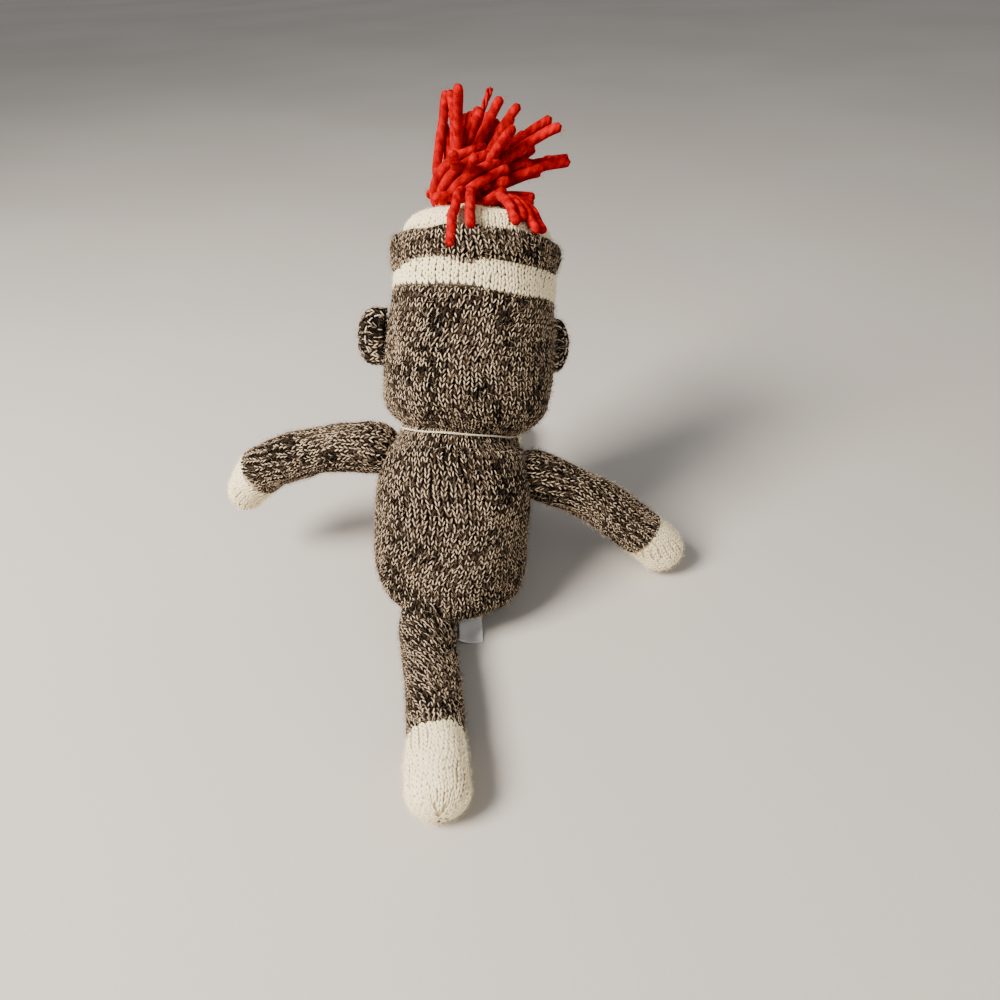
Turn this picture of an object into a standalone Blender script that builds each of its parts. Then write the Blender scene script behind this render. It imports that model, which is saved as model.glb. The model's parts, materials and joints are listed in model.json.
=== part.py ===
"""A knitted sock monkey doll that sits on a floor, in metres, +Z up.

The doll faces -Y and its back is toward +Y. The origin is the middle of the flat of its seat.
Every stuffed piece is one solid, cover and filling together. A limb's root is round and turns
in a round socket of the body; the wad of stuffing inside the root turns with the limb when it
is raised, and the limb turns about the wad when it swings aside.
"""

import math

import bmesh
import bpy
from mathutils import Euler, Matrix, Vector

# Room left between pieces that touch, and how far a cutter runs past what it cuts.
GAP = 0.0003
OVERRUN = 0.004
# How deep the floor flattens each soft form that lies on it.
FLOOR_SINK = 0.0005

# The body: a soft pear that stands on its seat and leans forward and to its right.
TORSO_LENGTH = 0.0610
TORSO_WIDTH = 0.0505
TORSO_DEPTH = 0.0480
SEAT_WIDTH = 0.0445
SEAT_DEPTH = 0.0440
SEAT_ROUNDING = 0.0115
NECK_WIDTH = 0.0430
NECK_DEPTH = 0.0410
SEAT_LEAN = math.radians(13)
NECK_LEAN = math.radians(28)
TORSO_SIDE_LEAN = math.radians(-6.5)
NECK_GROOVE = 0.0024
SHOULDER_ROUNDING = 0.0064
# Where along the body its depth and its width are fullest, from and to.
DEEPEST_SHARES = (0.36, 0.60)
WIDEST_SHARES = (0.32, 0.66)
TORSO_RINGS = 6
# The ball of stuffed knit at the top of the body, on which the head sits.
NECK_BALL_RADIUS = 0.0190
NECK_BALL_DROP = 0.0075
NECK_WAD_RADIUS = 0.0095
NECK_PASSAGE_RADIUS = 0.0060

# The head, from the seam at the neck to the hat's band.
HEAD_HEIGHT = 0.0422
HEAD_WIDTH = 0.0533
HEAD_DEPTH = 0.0500
CHIN_WIDTH = 0.0510
BROW_WIDTH = 0.0505
CHIN_ROUNDING = 0.0140
HEAD_DROP = 0.0030
HEAD_WIDEST_SHARES = (0.54, 0.62)
HEAD_RINGS = 10
HEAD_LEAN = math.radians(30)
HEAD_SIDE_LEAN = math.radians(-8.5)
HEAD_TURN = math.radians(12)
HEAD_ASIDE = 0.0022

# The hat: a plain band, a rolled cuff round it and a domed crown.
BAND_HEIGHT = 0.0064
CUFF_HEIGHT = 0.0105
CUFF_THICKNESS = 0.0012
CROWN_HEIGHT = 0.0085
CROWN_FLAT_RADIUS = 0.0088
CROWN_INSET = 0.0012
CROWN_RINGS = 5
CUFF_LIP = 0.0006
CUFF_RINGS = 6
CUFF_SQUARENESS = 0.7
BAND_SWELL = 0.0004
BAND_RINGS = 3

# The pompom: a dense middle, yarn strands that stick out of it, and the thread that ties it.
POMPOM_WIDTH = 0.0270
POMPOM_HEIGHT = 0.0200
POMPOM_LEAN = math.radians(6)
POMPOM_ASIDE = 0.0030
TIE_WIDTH = 0.0080
TIE_THICKNESS = 0.0014
TIE_HEIGHT = 0.0024
THREAD_SIDES = 6
STRAND_LENGTH = 0.0320
STRAND_WIDTH = 0.0032
STRAND_DROOP = math.radians(28)
STRAND_STEPS = 4
STRAND_SIDES = 5

# The face.
MUZZLE_WIDTH = 0.0330
MUZZLE_HEIGHT = 0.0230
MUZZLE_BULGE = 0.0100
MUZZLE_LIFT = 0.0135
MOUTH_WIDTH = 0.0210
MOUTH_HEIGHT = 0.0075
MOUTH_BULGE = 0.0016
EYE_WIDTH = 0.0052
EYE_BULGE = 0.0018
EYE_SPREAD = 0.0125
EYE_LIFT = 0.0305

# The ears: flat pads whose straight edge turns in a groove of the head.
EAR_HEIGHT = 0.0174
EAR_REACH = 0.0085
EAR_THICKNESS = 0.0052
LEFT_EAR_LIFT = 0.0273
RIGHT_EAR_LIFT = 0.0303
EAR_TURN = math.radians(86)
EAR_SWEEP = math.radians(10)
EAR_OUTSET = 0.0008

# The arms.
ARM_LENGTH = 0.0640
ARM_WIDTH = 0.0156
HAND_LENGTH = 0.0165
HAND_WIDTH = 0.0160
WRIST_WIDTH = 0.0148
ARM_ROOT_RADIUS = 0.0079
ARM_WAIST_WIDTH = 0.0132
ARM_WAD_RADIUS = 0.0036
SHOULDER_HEIGHT = 0.0512
SHOULDER_OUTSET = 0.0031
SHOULDER_TILT = math.radians(6.5)
LEFT_ARM_AIM = (1, -0.24, -0.01)
LEFT_ARM_BEND = math.radians(47)
RIGHT_ARM_AIM = (-0.92, 0.02, -0.405)
RIGHT_ARM_BEND = math.radians(32)

# The legs.
LEG_LENGTH = 0.0780
LEG_WIDTH = 0.0166
FOOT_LENGTH = 0.0210
FOOT_WIDTH = 0.0172
ANKLE_WIDTH = 0.0156
LEG_ROOT_RADIUS = 0.0088
LEG_WAIST_WIDTH = 0.0148
LEG_WAD_RADIUS = 0.0042
HIP_SPREAD = 0.0118
HIP_FORWARD = 0.0208
LEG_SPLAY = math.radians(4)

# The tail.
TAIL_LENGTH = 0.0645
TAIL_WIDTH = 0.0164
TAIL_TIP_LENGTH = 0.0225
TAIL_TIP_WIDTH = 0.0182
TAIL_CUFF_WIDTH = 0.0154
TAIL_ROOT_RADIUS = 0.0088
TAIL_WAIST_WIDTH = 0.0150
TAIL_WAD_RADIUS = 0.0042
TAIL_ASIDE = 0.0100
TAIL_BACK = 0.0266
TAIL_YAW = math.radians(4)

# Where along a limb its waist and its fullest width are, and how wide the hole in its root is.
WAIST_SHARE = 0.16
SWELL_SHARE = 0.50
PASSAGE_SHARE = 0.6

# The sewn-in label: a blank cloth tab.
LABEL_WIDTH = 0.0082
LABEL_LENGTH = 0.0112
LABEL_THICKNESS = 0.0006
LABEL_RISE = 0.0045
LABEL_ASIDE = -0.0030
LABEL_BACK = 0.0172
LABEL_YAW = math.radians(22)
LABEL_STEPS = 6

# The thread drawn round the neck.
SEAM_THREAD_WIDTH = 0.0009
SEAM_THREAD_ANGLE = 67

# Sides and rings of the round forms, and of the balls and sockets of the joints.
BODY_SIDES = 28
LIMB_SIDES = 18
LIMB_RINGS = 6
TIP_RINGS = 3
NECK_RINGS = 18
BALL_SIDES = 20
BALL_RINGS = 12
WAD_SIDES = 14
WAD_RINGS = 8
CAP_RINGS = 4

MARL_BROWN = (0.085, 0.055, 0.038)
CREAM = (0.93, 0.84, 0.64)
RED_YARN = (0.62, 0.010, 0.012)
BLACK = (0.012, 0.011, 0.010)
WHITE = (0.90, 0.90, 0.88)


def clear_scene():
    for found in list(bpy.data.objects):
        bpy.data.objects.remove(found, do_unlink=True)


def new_collection(name):
    collection = bpy.data.collections.new(name)
    bpy.context.scene.collection.children.link(collection)
    return collection


def new_material(name, colour, roughness):
    material = bpy.data.materials.new(name)
    material.use_nodes = True
    shader = material.node_tree.nodes["Principled BSDF"]
    shader.inputs["Base Color"].default_value = (*colour, 1)
    shader.inputs["Roughness"].default_value = roughness
    shader.inputs["Metallic"].default_value = 0
    return material


def new_object(name, shape, collection, finish=None):
    """The bmesh as an object of this name, shaded smooth, with a material of its own."""
    bmesh.ops.recalc_face_normals(shape, faces=shape.faces)
    mesh = bpy.data.meshes.new(name)
    shape.to_mesh(mesh)
    shape.free()
    mesh.shade_smooth()
    made = bpy.data.objects.new(name, mesh)
    collection.objects.link(made)
    if finish:
        made.data.materials.append(new_material(name, *finish))
    return made


def hide_cutter(cutter):
    cutter.hide_render = True
    cutter.display_type = "WIRE"
    return cutter


def cut(piece, cutter):
    modifier = piece.modifiers.new("cut_" + cutter.name, "BOOLEAN")
    modifier.operation = "DIFFERENCE"
    modifier.solver = "EXACT"
    modifier.object = cutter


def place(piece, matrix):
    piece.matrix_world = matrix


def new_pivot(name, matrix, collection, parent=None):
    """An empty on a joint's axis, that carries the pieces that turn about it."""
    pivot = bpy.data.objects.new(name, None)
    pivot.empty_display_size = ARM_WAD_RADIUS
    collection.objects.link(pivot)
    if parent:
        pivot.parent = parent
    pivot.matrix_world = matrix
    return pivot


def carry(pivot, *pieces):
    """The pieces turn with the pivot, and stay where they are."""
    for piece in pieces:
        piece.parent = pivot
        piece.matrix_parent_inverse = pivot.matrix_world.inverted()


def eased(keys, share):
    """The size at this share of the way, where each key is a share and the size there."""
    for (first, low), (last, high) in zip(keys, keys[1:]):
        if share <= last:
            way = max(0.0, (share - first) / (last - first))
            return low + (high - low) * way * way * (3 - 2 * way)
    return keys[-1][1]


def full_keys(low, full, high, full_shares):
    """Keys of a size that is full between two shares of the way and less at its two ends."""
    return ((0, low), (full_shares[0], full), (full_shares[1], full), (1, high))


def rounded_stations(start, end, start_cap, end_cap, rings):
    """Distances of the rings, close together where the ends are round."""
    quarter = math.pi / 2
    steps = [1 - math.cos(quarter * step / CAP_RINGS) for step in range(CAP_RINGS + 1)]
    stations = [start + start_cap * step for step in steps] if start_cap else [start]
    last = end - end_cap
    first = stations[-1]
    stations += [first + (last - first) * ring / rings for ring in range(1, rings + 1)]
    if end_cap:
        stations += [end - end_cap * step for step in reversed(steps[:-1])]
    return stations


def cap_share(station, start, end, start_cap, end_cap):
    """How much of its full width the form has here: less within its round ends."""
    share = 1.0
    if start_cap and station < start + start_cap:
        share *= math.sqrt(max(0.0, 1 - (1 - (station - start) / start_cap) ** 2))
    if end_cap and station > end - end_cap:
        share *= math.sqrt(max(0.0, 1 - (1 - (end - station) / end_cap) ** 2))
    return share


def bent_frame(station, length, bend):
    """Where the axis of a bent form is at this distance, and its frame. It bends toward +X."""
    if station <= 0 or abs(bend) < 1e-6:
        return Matrix.Translation((0, 0, station))
    turn = bend * station / length
    radius = length / bend
    point = Vector((radius * (1 - math.cos(turn)), 0, radius * math.sin(turn)))
    return Matrix.Translation(point) @ Matrix.Rotation(turn, 4, "Y")


def aimed(point, ahead, toward):
    """A frame at the point whose Z runs ahead and whose X leans toward the second direction."""
    z = Vector(ahead).normalized()
    y = z.cross(Vector(toward)).normalized()
    turn = Matrix((y.cross(z), y, z)).transposed().to_4x4()
    return Matrix.Translation(point) @ turn


def stuffed_form(widths, depths, length, start, end, start_cap, end_cap, sides, rings, bend=0.0):
    """A lofted tube of stuffed knit, whose width and depth follow keys along its length."""
    shape = bmesh.new()
    loops = []
    for station in rounded_stations(start, end, start_cap, end_cap, rings):
        frame = bent_frame(station, length, bend)
        swell = cap_share(station, start, end, start_cap, end_cap)
        if swell < 1e-4:
            loops.append([shape.verts.new(frame.translation)])
            continue
        share = max(0.0, station / length)
        width, depth = eased(widths, share) * swell / 2, eased(depths, share) * swell / 2
        size = Matrix.Diagonal((width, depth, 1, 1))
        ring = bmesh.ops.create_circle(shape, segments=sides, radius=1, matrix=frame @ size)
        loops.append(ring["verts"])
    for low, high in zip(loops, loops[1:]):
        for side in range(sides):
            after = (side + 1) % sides
            corners = [low[side % len(low)], low[after % len(low)]]
            corners += [high[after % len(high)], high[side % len(high)]]
            shape.faces.new(dict.fromkeys(corners))
    for loop in (loops[0], loops[-1]):
        if len(loop) > 1:
            shape.faces.new(loop)
    return shape


def ball(name, radius, matrix, collection, sides=BALL_SIDES, rings=BALL_RINGS):
    shape = bmesh.new()
    bmesh.ops.create_uvsphere(shape, u_segments=sides, v_segments=rings, radius=radius)
    made = new_object(name, shape, collection)
    place(made, matrix)
    return made


def rod(name, radius, low, high, matrix, collection):
    """A round bar along Z from low to high."""
    shape = bmesh.new()
    bmesh.ops.create_cone(
        shape,
        cap_ends=True,
        segments=BALL_SIDES,
        radius1=radius,
        radius2=radius,
        depth=high - low,
        matrix=Matrix.Translation((0, 0, (low + high) / 2)),
    )
    made = new_object(name, shape, collection)
    place(made, matrix)
    return made


def turned(name, profile, flatness, matrix, collection, finish, sides=BODY_SIDES):
    """A profile of (radius, height) points, top to bottom, turned about Z and flattened along Y."""
    shape = bmesh.new()
    verts = [shape.verts.new((radius, 0, height)) for radius, height in profile]
    for first, last in zip(verts, verts[1:]):
        shape.edges.new((first, last))
    if profile[0][0] > 0:
        shape.edges.new((verts[-1], verts[0]))
    made = new_object(name, shape, collection, finish)
    screw = made.modifiers.new("turn", "SCREW")
    screw.steps = screw.render_steps = sides
    screw.use_merge_vertices = True
    screw.merge_threshold = GAP / 10
    place(made, matrix @ Matrix.Diagonal((1, flatness, 1, 1)))
    return made


clear_scene()
parts = new_collection("sock_monkey_doll")
cutters = new_collection("cutters")
marl = (MARL_BROWN, 0.95)
cream = (CREAM, 0.92)
stuffing = (WHITE, 0.95)

floor_shape = bmesh.new()
bmesh.ops.create_cube(floor_shape, size=1)
floor_size = 6 * TORSO_LENGTH
floor = hide_cutter(new_object("floor_cutter", floor_shape, cutters))
place(floor, Matrix.Translation((0, 0, -floor_size / 2)) @ Matrix.Scale(floor_size, 4))


# The body's axis starts at the middle of its round seat and bends forward to the neck.
# Its own X is forward and its own Y is toward the doll's left.
upright = Matrix.Rotation(TORSO_SIDE_LEAN, 4, "Y") @ Matrix.Rotation(-math.pi / 2, 4, "Z")
seat_frame = upright @ Matrix.Rotation(SEAT_LEAN, 4, "Y")
TORSO_BEND = NECK_LEAN - SEAT_LEAN
DEPTH_KEYS = full_keys(SEAT_DEPTH, TORSO_DEPTH, NECK_DEPTH, DEEPEST_SHARES)
WIDTH_KEYS = full_keys(SEAT_WIDTH, TORSO_WIDTH, NECK_WIDTH, WIDEST_SHARES)


def lowest_point(frame, half_sizes):
    """From the centre of an ellipsoid that is turned like this, the way to its lowest point."""
    turn = frame.to_3x3()
    spread = turn @ Matrix.Diagonal([size * size for size in half_sizes]) @ turn.transposed()
    down = spread @ Vector((0, 0, -1))
    return down / math.sqrt(-down.z)


seat_low = lowest_point(seat_frame, (SEAT_DEPTH / 2, SEAT_WIDTH / 2, SEAT_ROUNDING))
seat_middle = Vector((0, 0, -FLOOR_SINK)) - seat_low
torso_frame = Matrix.Translation(seat_middle) @ seat_frame
torso_frame = torso_frame @ Matrix.Translation((0, 0, -SEAT_ROUNDING))


def torso_axis(station):
    return torso_frame @ bent_frame(station, TORSO_LENGTH, TORSO_BEND)


def torso_skin(station, around, outset=0.0):
    """A frame just off the body's skin, at an angle round it from its front to its left."""
    share = station / TORSO_LENGTH
    depth, width = eased(DEPTH_KEYS, share) / 2, eased(WIDTH_KEYS, share) / 2
    out = Vector((depth * math.cos(around), width * math.sin(around), 0))
    return torso_axis(station) @ Matrix.Translation(out + out.normalized() * outset)


def make_torso():
    body = stuffed_form(
        DEPTH_KEYS, WIDTH_KEYS, TORSO_LENGTH, 0, TORSO_LENGTH - NECK_GROOVE,
        SEAT_ROUNDING, SHOULDER_ROUNDING, BODY_SIDES, TORSO_RINGS, TORSO_BEND,
    )
    torso = new_object("torso", body, parts, marl)
    place(torso, torso_frame)
    neck_ball = hide_cutter(
        ball("neck_ball", NECK_BALL_RADIUS, neck_frame, cutters, BODY_SIDES, NECK_RINGS)
    )
    joined = torso.modifiers.new("neck_ball", "BOOLEAN")
    joined.operation = "UNION"
    joined.object = neck_ball
    pocket = ball("neck_pocket", NECK_WAD_RADIUS + GAP, neck_frame, cutters)
    passage = rod(
        "neck_passage", NECK_PASSAGE_RADIUS, 0, NECK_BALL_RADIUS + OVERRUN, neck_frame, cutters
    )
    for cutter in (pocket, passage, floor):
        cut(torso, hide_cutter(cutter))
    return torso


neck_frame = torso_axis(TORSO_LENGTH - NECK_BALL_DROP)
torso = make_torso()
neck_turn = new_pivot("neck_turn", neck_frame, parts)
neck_stuffing = ball("neck_stuffing", NECK_WAD_RADIUS, neck_frame, parts)
neck_stuffing.data.materials.append(new_material("neck_stuffing", *stuffing))
carry(neck_turn, neck_stuffing)


# The head stands on the neck, in a frame of its own: X to the doll's left, -Y forward.
seam_point = torso_axis(TORSO_LENGTH).translation - Vector((HEAD_ASIDE, 0, 0))
head_turns = Euler((HEAD_LEAN, HEAD_SIDE_LEAN, 0)).to_matrix().to_4x4()
head_frame = Matrix.Translation(seam_point) @ head_turns @ Matrix.Rotation(HEAD_TURN, 4, "Z")
head_pivot_frame = head_frame.copy()
head_pivot_frame.translation = neck_frame.translation
head_nod = new_pivot("head_nod", head_pivot_frame, parts, neck_turn)

HEAD_KEYS = full_keys(CHIN_WIDTH, HEAD_WIDTH, BROW_WIDTH, HEAD_WIDEST_SHARES)
HEAD_FLATNESS = HEAD_DEPTH / HEAD_WIDTH


def head_width(height):
    return eased(HEAD_KEYS, (height + HEAD_DROP) / (HEAD_HEIGHT + HEAD_DROP))


def head_profile(extra=0.0):
    """From the middle of the head's flat top, round its side and under its chin."""
    stations = rounded_stations(-HEAD_DROP, HEAD_HEIGHT, CHIN_ROUNDING, 0, HEAD_RINGS)
    side = []
    for height in stations[1:]:
        share = cap_share(height, -HEAD_DROP, HEAD_HEIGHT, CHIN_ROUNDING, 0)
        side.append((head_width(height) / 2 * share + extra, height))
    return [(0, HEAD_HEIGHT), *reversed(side), (0, -HEAD_DROP - extra)]


def head_skin(height, around, outset=0.0):
    """A frame on the head's skin, its own X pointing out, at an angle from the face to the left."""
    half = head_width(height) / 2
    point = Vector((half * math.sin(around), -half * HEAD_FLATNESS * math.cos(around), height))
    out = Vector((math.sin(around) * HEAD_FLATNESS, -math.cos(around), 0)).normalized()
    turn = Matrix.Rotation(math.atan2(out.y, out.x), 4, "Z")
    return head_frame @ Matrix.Translation(point + out * outset) @ turn


head = turned("head", head_profile(), HEAD_FLATNESS, head_frame, parts, marl)
head_cutter = turned("head_cutter", head_profile(GAP), HEAD_FLATNESS, head_frame, cutters, None)
hide_cutter(head_cutter)
neck_socket = ball(
    "neck_socket", NECK_BALL_RADIUS + GAP, neck_frame, cutters, BODY_SIDES, NECK_RINGS
)
cut(head, hide_cutter(neck_socket))


def squashed_ball(name, half_sizes, matrix, collection, finish, sides=24, rings=14):
    """A ball drawn to these half sizes; the first may be a pair, for the +X and the -X side."""
    shape = bmesh.new()
    bmesh.ops.create_uvsphere(shape, u_segments=sides, v_segments=rings, radius=1)
    ahead, behind = half_sizes[0] if isinstance(half_sizes[0], tuple) else (half_sizes[0],) * 2
    for vert in shape.verts:
        reach = ahead if vert.co.x > 0 else behind
        vert.co = Vector((vert.co.x * reach, vert.co.y * half_sizes[1], vert.co.z * half_sizes[2]))
    made = new_object(name, shape, collection, finish)
    place(made, matrix)
    return made


def make_face():
    sizes = (MUZZLE_BULGE, MUZZLE_WIDTH / 2, MUZZLE_HEIGHT / 2)
    spot = head_skin(MUZZLE_LIFT, 0)
    muzzle = squashed_ball("muzzle", sizes, spot, parts, cream, 24, 12)
    cut(muzzle, head_cutter)
    grown = tuple(size + GAP for size in sizes)
    muzzle_cutter = hide_cutter(squashed_ball("muzzle_cutter", grown, spot, cutters, None, 24, 12))
    lips = (MOUTH_BULGE + GAP, MOUTH_WIDTH / 2, MOUTH_HEIGHT / 2)
    lip_spot = spot @ Matrix.Translation((MUZZLE_BULGE, 0, 0))
    mouth = squashed_ball("mouth", lips, lip_spot, parts, (RED_YARN, 0.9), 16, 8)
    cut(mouth, muzzle_cutter)
    made = [muzzle, mouth]
    for side, sign in (("left", 1), ("right", -1)):
        around = math.asin(sign * EYE_SPREAD / (HEAD_WIDTH / 2))
        eye_spot = head_skin(EYE_LIFT, around)
        sizes = (EYE_BULGE + GAP, EYE_WIDTH / 2, EYE_WIDTH / 2)
        eye = squashed_ball(side + "_eye", sizes, eye_spot, parts, (BLACK, 0.35), 12, 8)
        cut(eye, head_cutter)
        made.append(eye)
    return made


def make_ear(side, sign, lift):
    """A flat pad. Its back edge is round about the hinge line, and turns in a groove."""
    upright_ear = Matrix.Rotation(-sign * EAR_SWEEP, 4, "Z")
    hinge = head_skin(lift, sign * EAR_TURN, EAR_OUTSET) @ upright_ear
    half = EAR_THICKNESS / 2
    sizes = ((EAR_REACH - EAR_OUTSET, half), half, EAR_HEIGHT / 2)
    ear = squashed_ball(side + "_ear", sizes, hinge, parts, marl, 18, 10)
    groove_sizes = (half + GAP, half + GAP, EAR_HEIGHT / 2 + GAP)
    groove = squashed_ball(side + "_ear_groove", groove_sizes, hinge, cutters, None, 18, 10)
    cut(head, hide_cutter(groove))
    fold = new_pivot(side + "_ear_fold", hinge, parts, head_nod)
    carry(fold, ear)


face = make_face()
make_ear("left", 1, LEFT_EAR_LIFT)
make_ear("right", -1, RIGHT_EAR_LIFT)


# The hat, from the band up. Its three pieces are as flat, front to back, as the brow.
CUFF_BOTTOM = HEAD_HEIGHT + BAND_HEIGHT
CUFF_TOP = CUFF_BOTTOM + CUFF_HEIGHT
CROWN_TOP = CUFF_TOP + CROWN_HEIGHT
CROWN_WIDTH = BROW_WIDTH - 2 * CROWN_INSET


def make_hat():
    swell = BAND_SWELL
    band_low, band_high = HEAD_HEIGHT + GAP, CUFF_BOTTOM
    band_side = []
    for step in range(BAND_RINGS + 1):
        way = step / BAND_RINGS
        half = BROW_WIDTH / 2 + swell * math.sin(math.pi * way) - swell
        band_side.append((half, band_high + (band_low - band_high) * way))
    band = [(0, band_high), *band_side, (0, band_low)]
    hat_band = turned("hat_band", band, HEAD_FLATNESS, head_frame, parts, cream)
    crown = [(0, CROWN_TOP)]
    for step in range(1, CROWN_RINGS + 1):
        turn = math.pi / 2 * step / CROWN_RINGS
        spread = CROWN_FLAT_RADIUS + (CROWN_WIDTH / 2 - CROWN_FLAT_RADIUS) * math.sin(turn)
        crown.append((spread, CUFF_TOP + CROWN_HEIGHT * math.cos(turn)))
    crown[0:1] = [(0, CROWN_TOP), (CROWN_FLAT_RADIUS, CROWN_TOP)]
    crown += [(CROWN_WIDTH / 2, CUFF_BOTTOM + GAP), (0, CUFF_BOTTOM + GAP)]
    hat_crown = turned("hat_crown", crown, HEAD_FLATNESS, head_frame, parts, cream)
    inner = CROWN_WIDTH / 2 + GAP / HEAD_FLATNESS
    cuff = [(inner, CUFF_TOP - CUFF_LIP)]
    for step in range(CUFF_RINGS + 1):
        turn = math.pi * step / CUFF_RINGS
        bulge = CUFF_THICKNESS * math.sin(turn) ** CUFF_SQUARENESS
        middle, half = (CUFF_TOP + CUFF_BOTTOM) / 2, CUFF_HEIGHT / 2 - GAP
        cuff.append((inner + CUFF_LIP + bulge, middle + half * math.cos(turn)))
    cuff.append((inner, CUFF_BOTTOM + CUFF_LIP))
    hat_cuff = turned("hat_cuff", cuff, HEAD_FLATNESS, head_frame, parts, marl)
    return [hat_band, hat_crown, hat_cuff]


hat = make_hat()


# The pompom stands on the crown. Each strand is given by the way it leans from upright toward
# the doll's right, the way it leans forward, both in degrees, and its share of the length.
STRAND_SHARES = (
    (-4, 4, 0.88), (-2, -14, 1.03), (4, 10, 0.73), (10, -6, 0.85), (24, 12, 0.88),
    (26, -26, 0.82), (40, 4, 0.97), (42, -16, 1.06), (64, -6, 0.97), (64, 22, 1.10),
    (88, -24, 0.64), (68, 34, 0.79), (-88, -10, 0.46), (-30, 36, 0.67), (12, 42, 0.95),
    (40, 54, 0.90), (2, -50, 0.70), (58, -50, 0.58), (-18, 14, 0.66), (-14, -46, 0.72),
)


def make_strand(name, lean, forward, share, knot):
    """A length of yarn from the knot outward, that droops toward its end."""
    turn = Matrix.Rotation(math.radians(-lean), 4, "Y")
    turn = turn @ Matrix.Rotation(math.radians(forward), 4, "X")
    reach = STRAND_LENGTH * share
    keys = ((0, STRAND_WIDTH), (1, STRAND_WIDTH))
    droop = STRAND_DROOP * share
    shape = stuffed_form(keys, keys, reach, 0, reach, 0, 0, STRAND_SIDES, STRAND_STEPS, droop)
    strand = hide_cutter(new_object(name, shape, strands))
    ahead = turn @ Vector((0, 0, 1))
    place(strand, knot @ aimed((0, 0, 0), ahead, (ahead.x, ahead.y, -1)))
    return strand


def make_pompom():
    stem_low = CROWN_TOP + GAP
    stand = head_frame @ Matrix.Translation((POMPOM_ASIDE, 0, stem_low))
    core_middle = stand @ Matrix.Translation((0, 0, TIE_HEIGHT + POMPOM_HEIGHT / 2))
    half = (POMPOM_WIDTH / 2, POMPOM_WIDTH / 2, POMPOM_HEIGHT / 2)
    pompom = squashed_ball("pompom", half, core_middle, parts, (RED_YARN, 0.9), 20, 12)
    stem = rod("stem", TIE_WIDTH / 2, -POMPOM_HEIGHT / 2 - TIE_HEIGHT, 0, core_middle, strands)
    hide_cutter(stem)
    knot = core_middle @ Matrix.Translation((0, 0, -POMPOM_HEIGHT / 4))
    knot = Matrix.Translation(knot.translation) @ Matrix.Rotation(POMPOM_LEAN, 4, "X")
    for number, (lean, forward, share) in enumerate(STRAND_SHARES, 1):
        make_strand(f"strand_{number}", lean, forward, share, knot)
    joined = pompom.modifiers.new("strands", "BOOLEAN")
    joined.operation = "UNION"
    joined.operand_type = "COLLECTION"
    joined.collection = strands
    middle, half_thick = (TIE_WIDTH + TIE_THICKNESS) / 2 + GAP, TIE_THICKNESS / 2
    ring = []
    for step in range(THREAD_SIDES):
        turn = 2 * math.pi * step / THREAD_SIDES
        ring.append((middle + half_thick * math.cos(turn), -half_thick * math.sin(turn)))
    tie_frame = stand @ Matrix.Translation((0, 0, half_thick))
    tie = turned("pompom_tie", ring, 1, tie_frame, parts, (WHITE, 0.8), 20)
    return [pompom, tie]


def make_neck_seam():
    """The thread that gathers the head's lower edge about the ball of the neck."""
    turn = math.radians(SEAM_THREAD_ANGLE)
    middle = NECK_BALL_RADIUS + GAP + SEAM_THREAD_WIDTH / 2
    ring = []
    for step in range(THREAD_SIDES):
        around = 2 * math.pi * step / THREAD_SIDES
        side = middle * math.sin(turn) + SEAM_THREAD_WIDTH / 2 * math.cos(around)
        ring.append((side, middle * math.cos(turn) - SEAM_THREAD_WIDTH / 2 * math.sin(around)))
    return turned("neck_seam_thread", ring, 1, head_pivot_frame, parts, cream, BODY_SIDES)


strands = new_collection("strands")
bpy.context.scene.collection.children.unlink(strands)
cutters.children.link(strands)
pompom = make_pompom()
neck_seam = make_neck_seam()
carry(head_nod, head, *face, *hat, *pompom, neck_seam)


def make_limb(name, tip_name, root, sizes, length, bend, tip_length, pivots, wad_radius):
    """A limb in two colours of knit, that turns on a round root about a wad of its own.

    root is a frame at the middle of the round root, its Z along the limb and its X the way the
    limb bends. sizes are the keys of its width. pivots are the frames of its two joints.
    """
    root_radius = sizes[0][1] / 2
    split = length - tip_length
    keys = tuple((station / length, size) for station, size in sizes)
    main_shape = stuffed_form(
        keys, keys, length, -root_radius, split - GAP / 2, root_radius, 0,
        LIMB_SIDES, LIMB_RINGS, bend,
    )
    main = new_object(name, main_shape, parts, marl)
    tip_cap = sizes[-1][1] / 2
    tip_shape = stuffed_form(
        keys, keys, length, split + GAP / 2, length, 0, tip_cap, LIMB_SIDES, TIP_RINGS, bend,
    )
    tip = new_object(tip_name, tip_shape, parts, cream)
    place(main, root)
    place(tip, root)
    socket = ball(name + "_socket", root_radius + GAP, root, cutters)
    cut(torso, hide_cutter(socket))
    pocket = ball(name + "_pocket", wad_radius + GAP, root, cutters, WAD_SIDES, WAD_RINGS)
    hole = rod(name + "_hole", wad_radius * PASSAGE_SHARE, -root_radius - OVERRUN, 0, root, cutters)
    for cutter in (pocket, hole):
        cut(main, hide_cutter(cutter))
    for piece in (main, tip):
        cut(piece, floor)
    wad = ball(name + "_stuffing", wad_radius, root, parts, WAD_SIDES, WAD_RINGS)
    wad.data.materials.append(new_material(name + "_stuffing", *stuffing))
    first = new_pivot(name + "_lift", pivots, parts)
    second = new_pivot(name + "_swing", pivots, parts, first)
    carry(first, wad)
    carry(second, main, tip)


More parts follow.
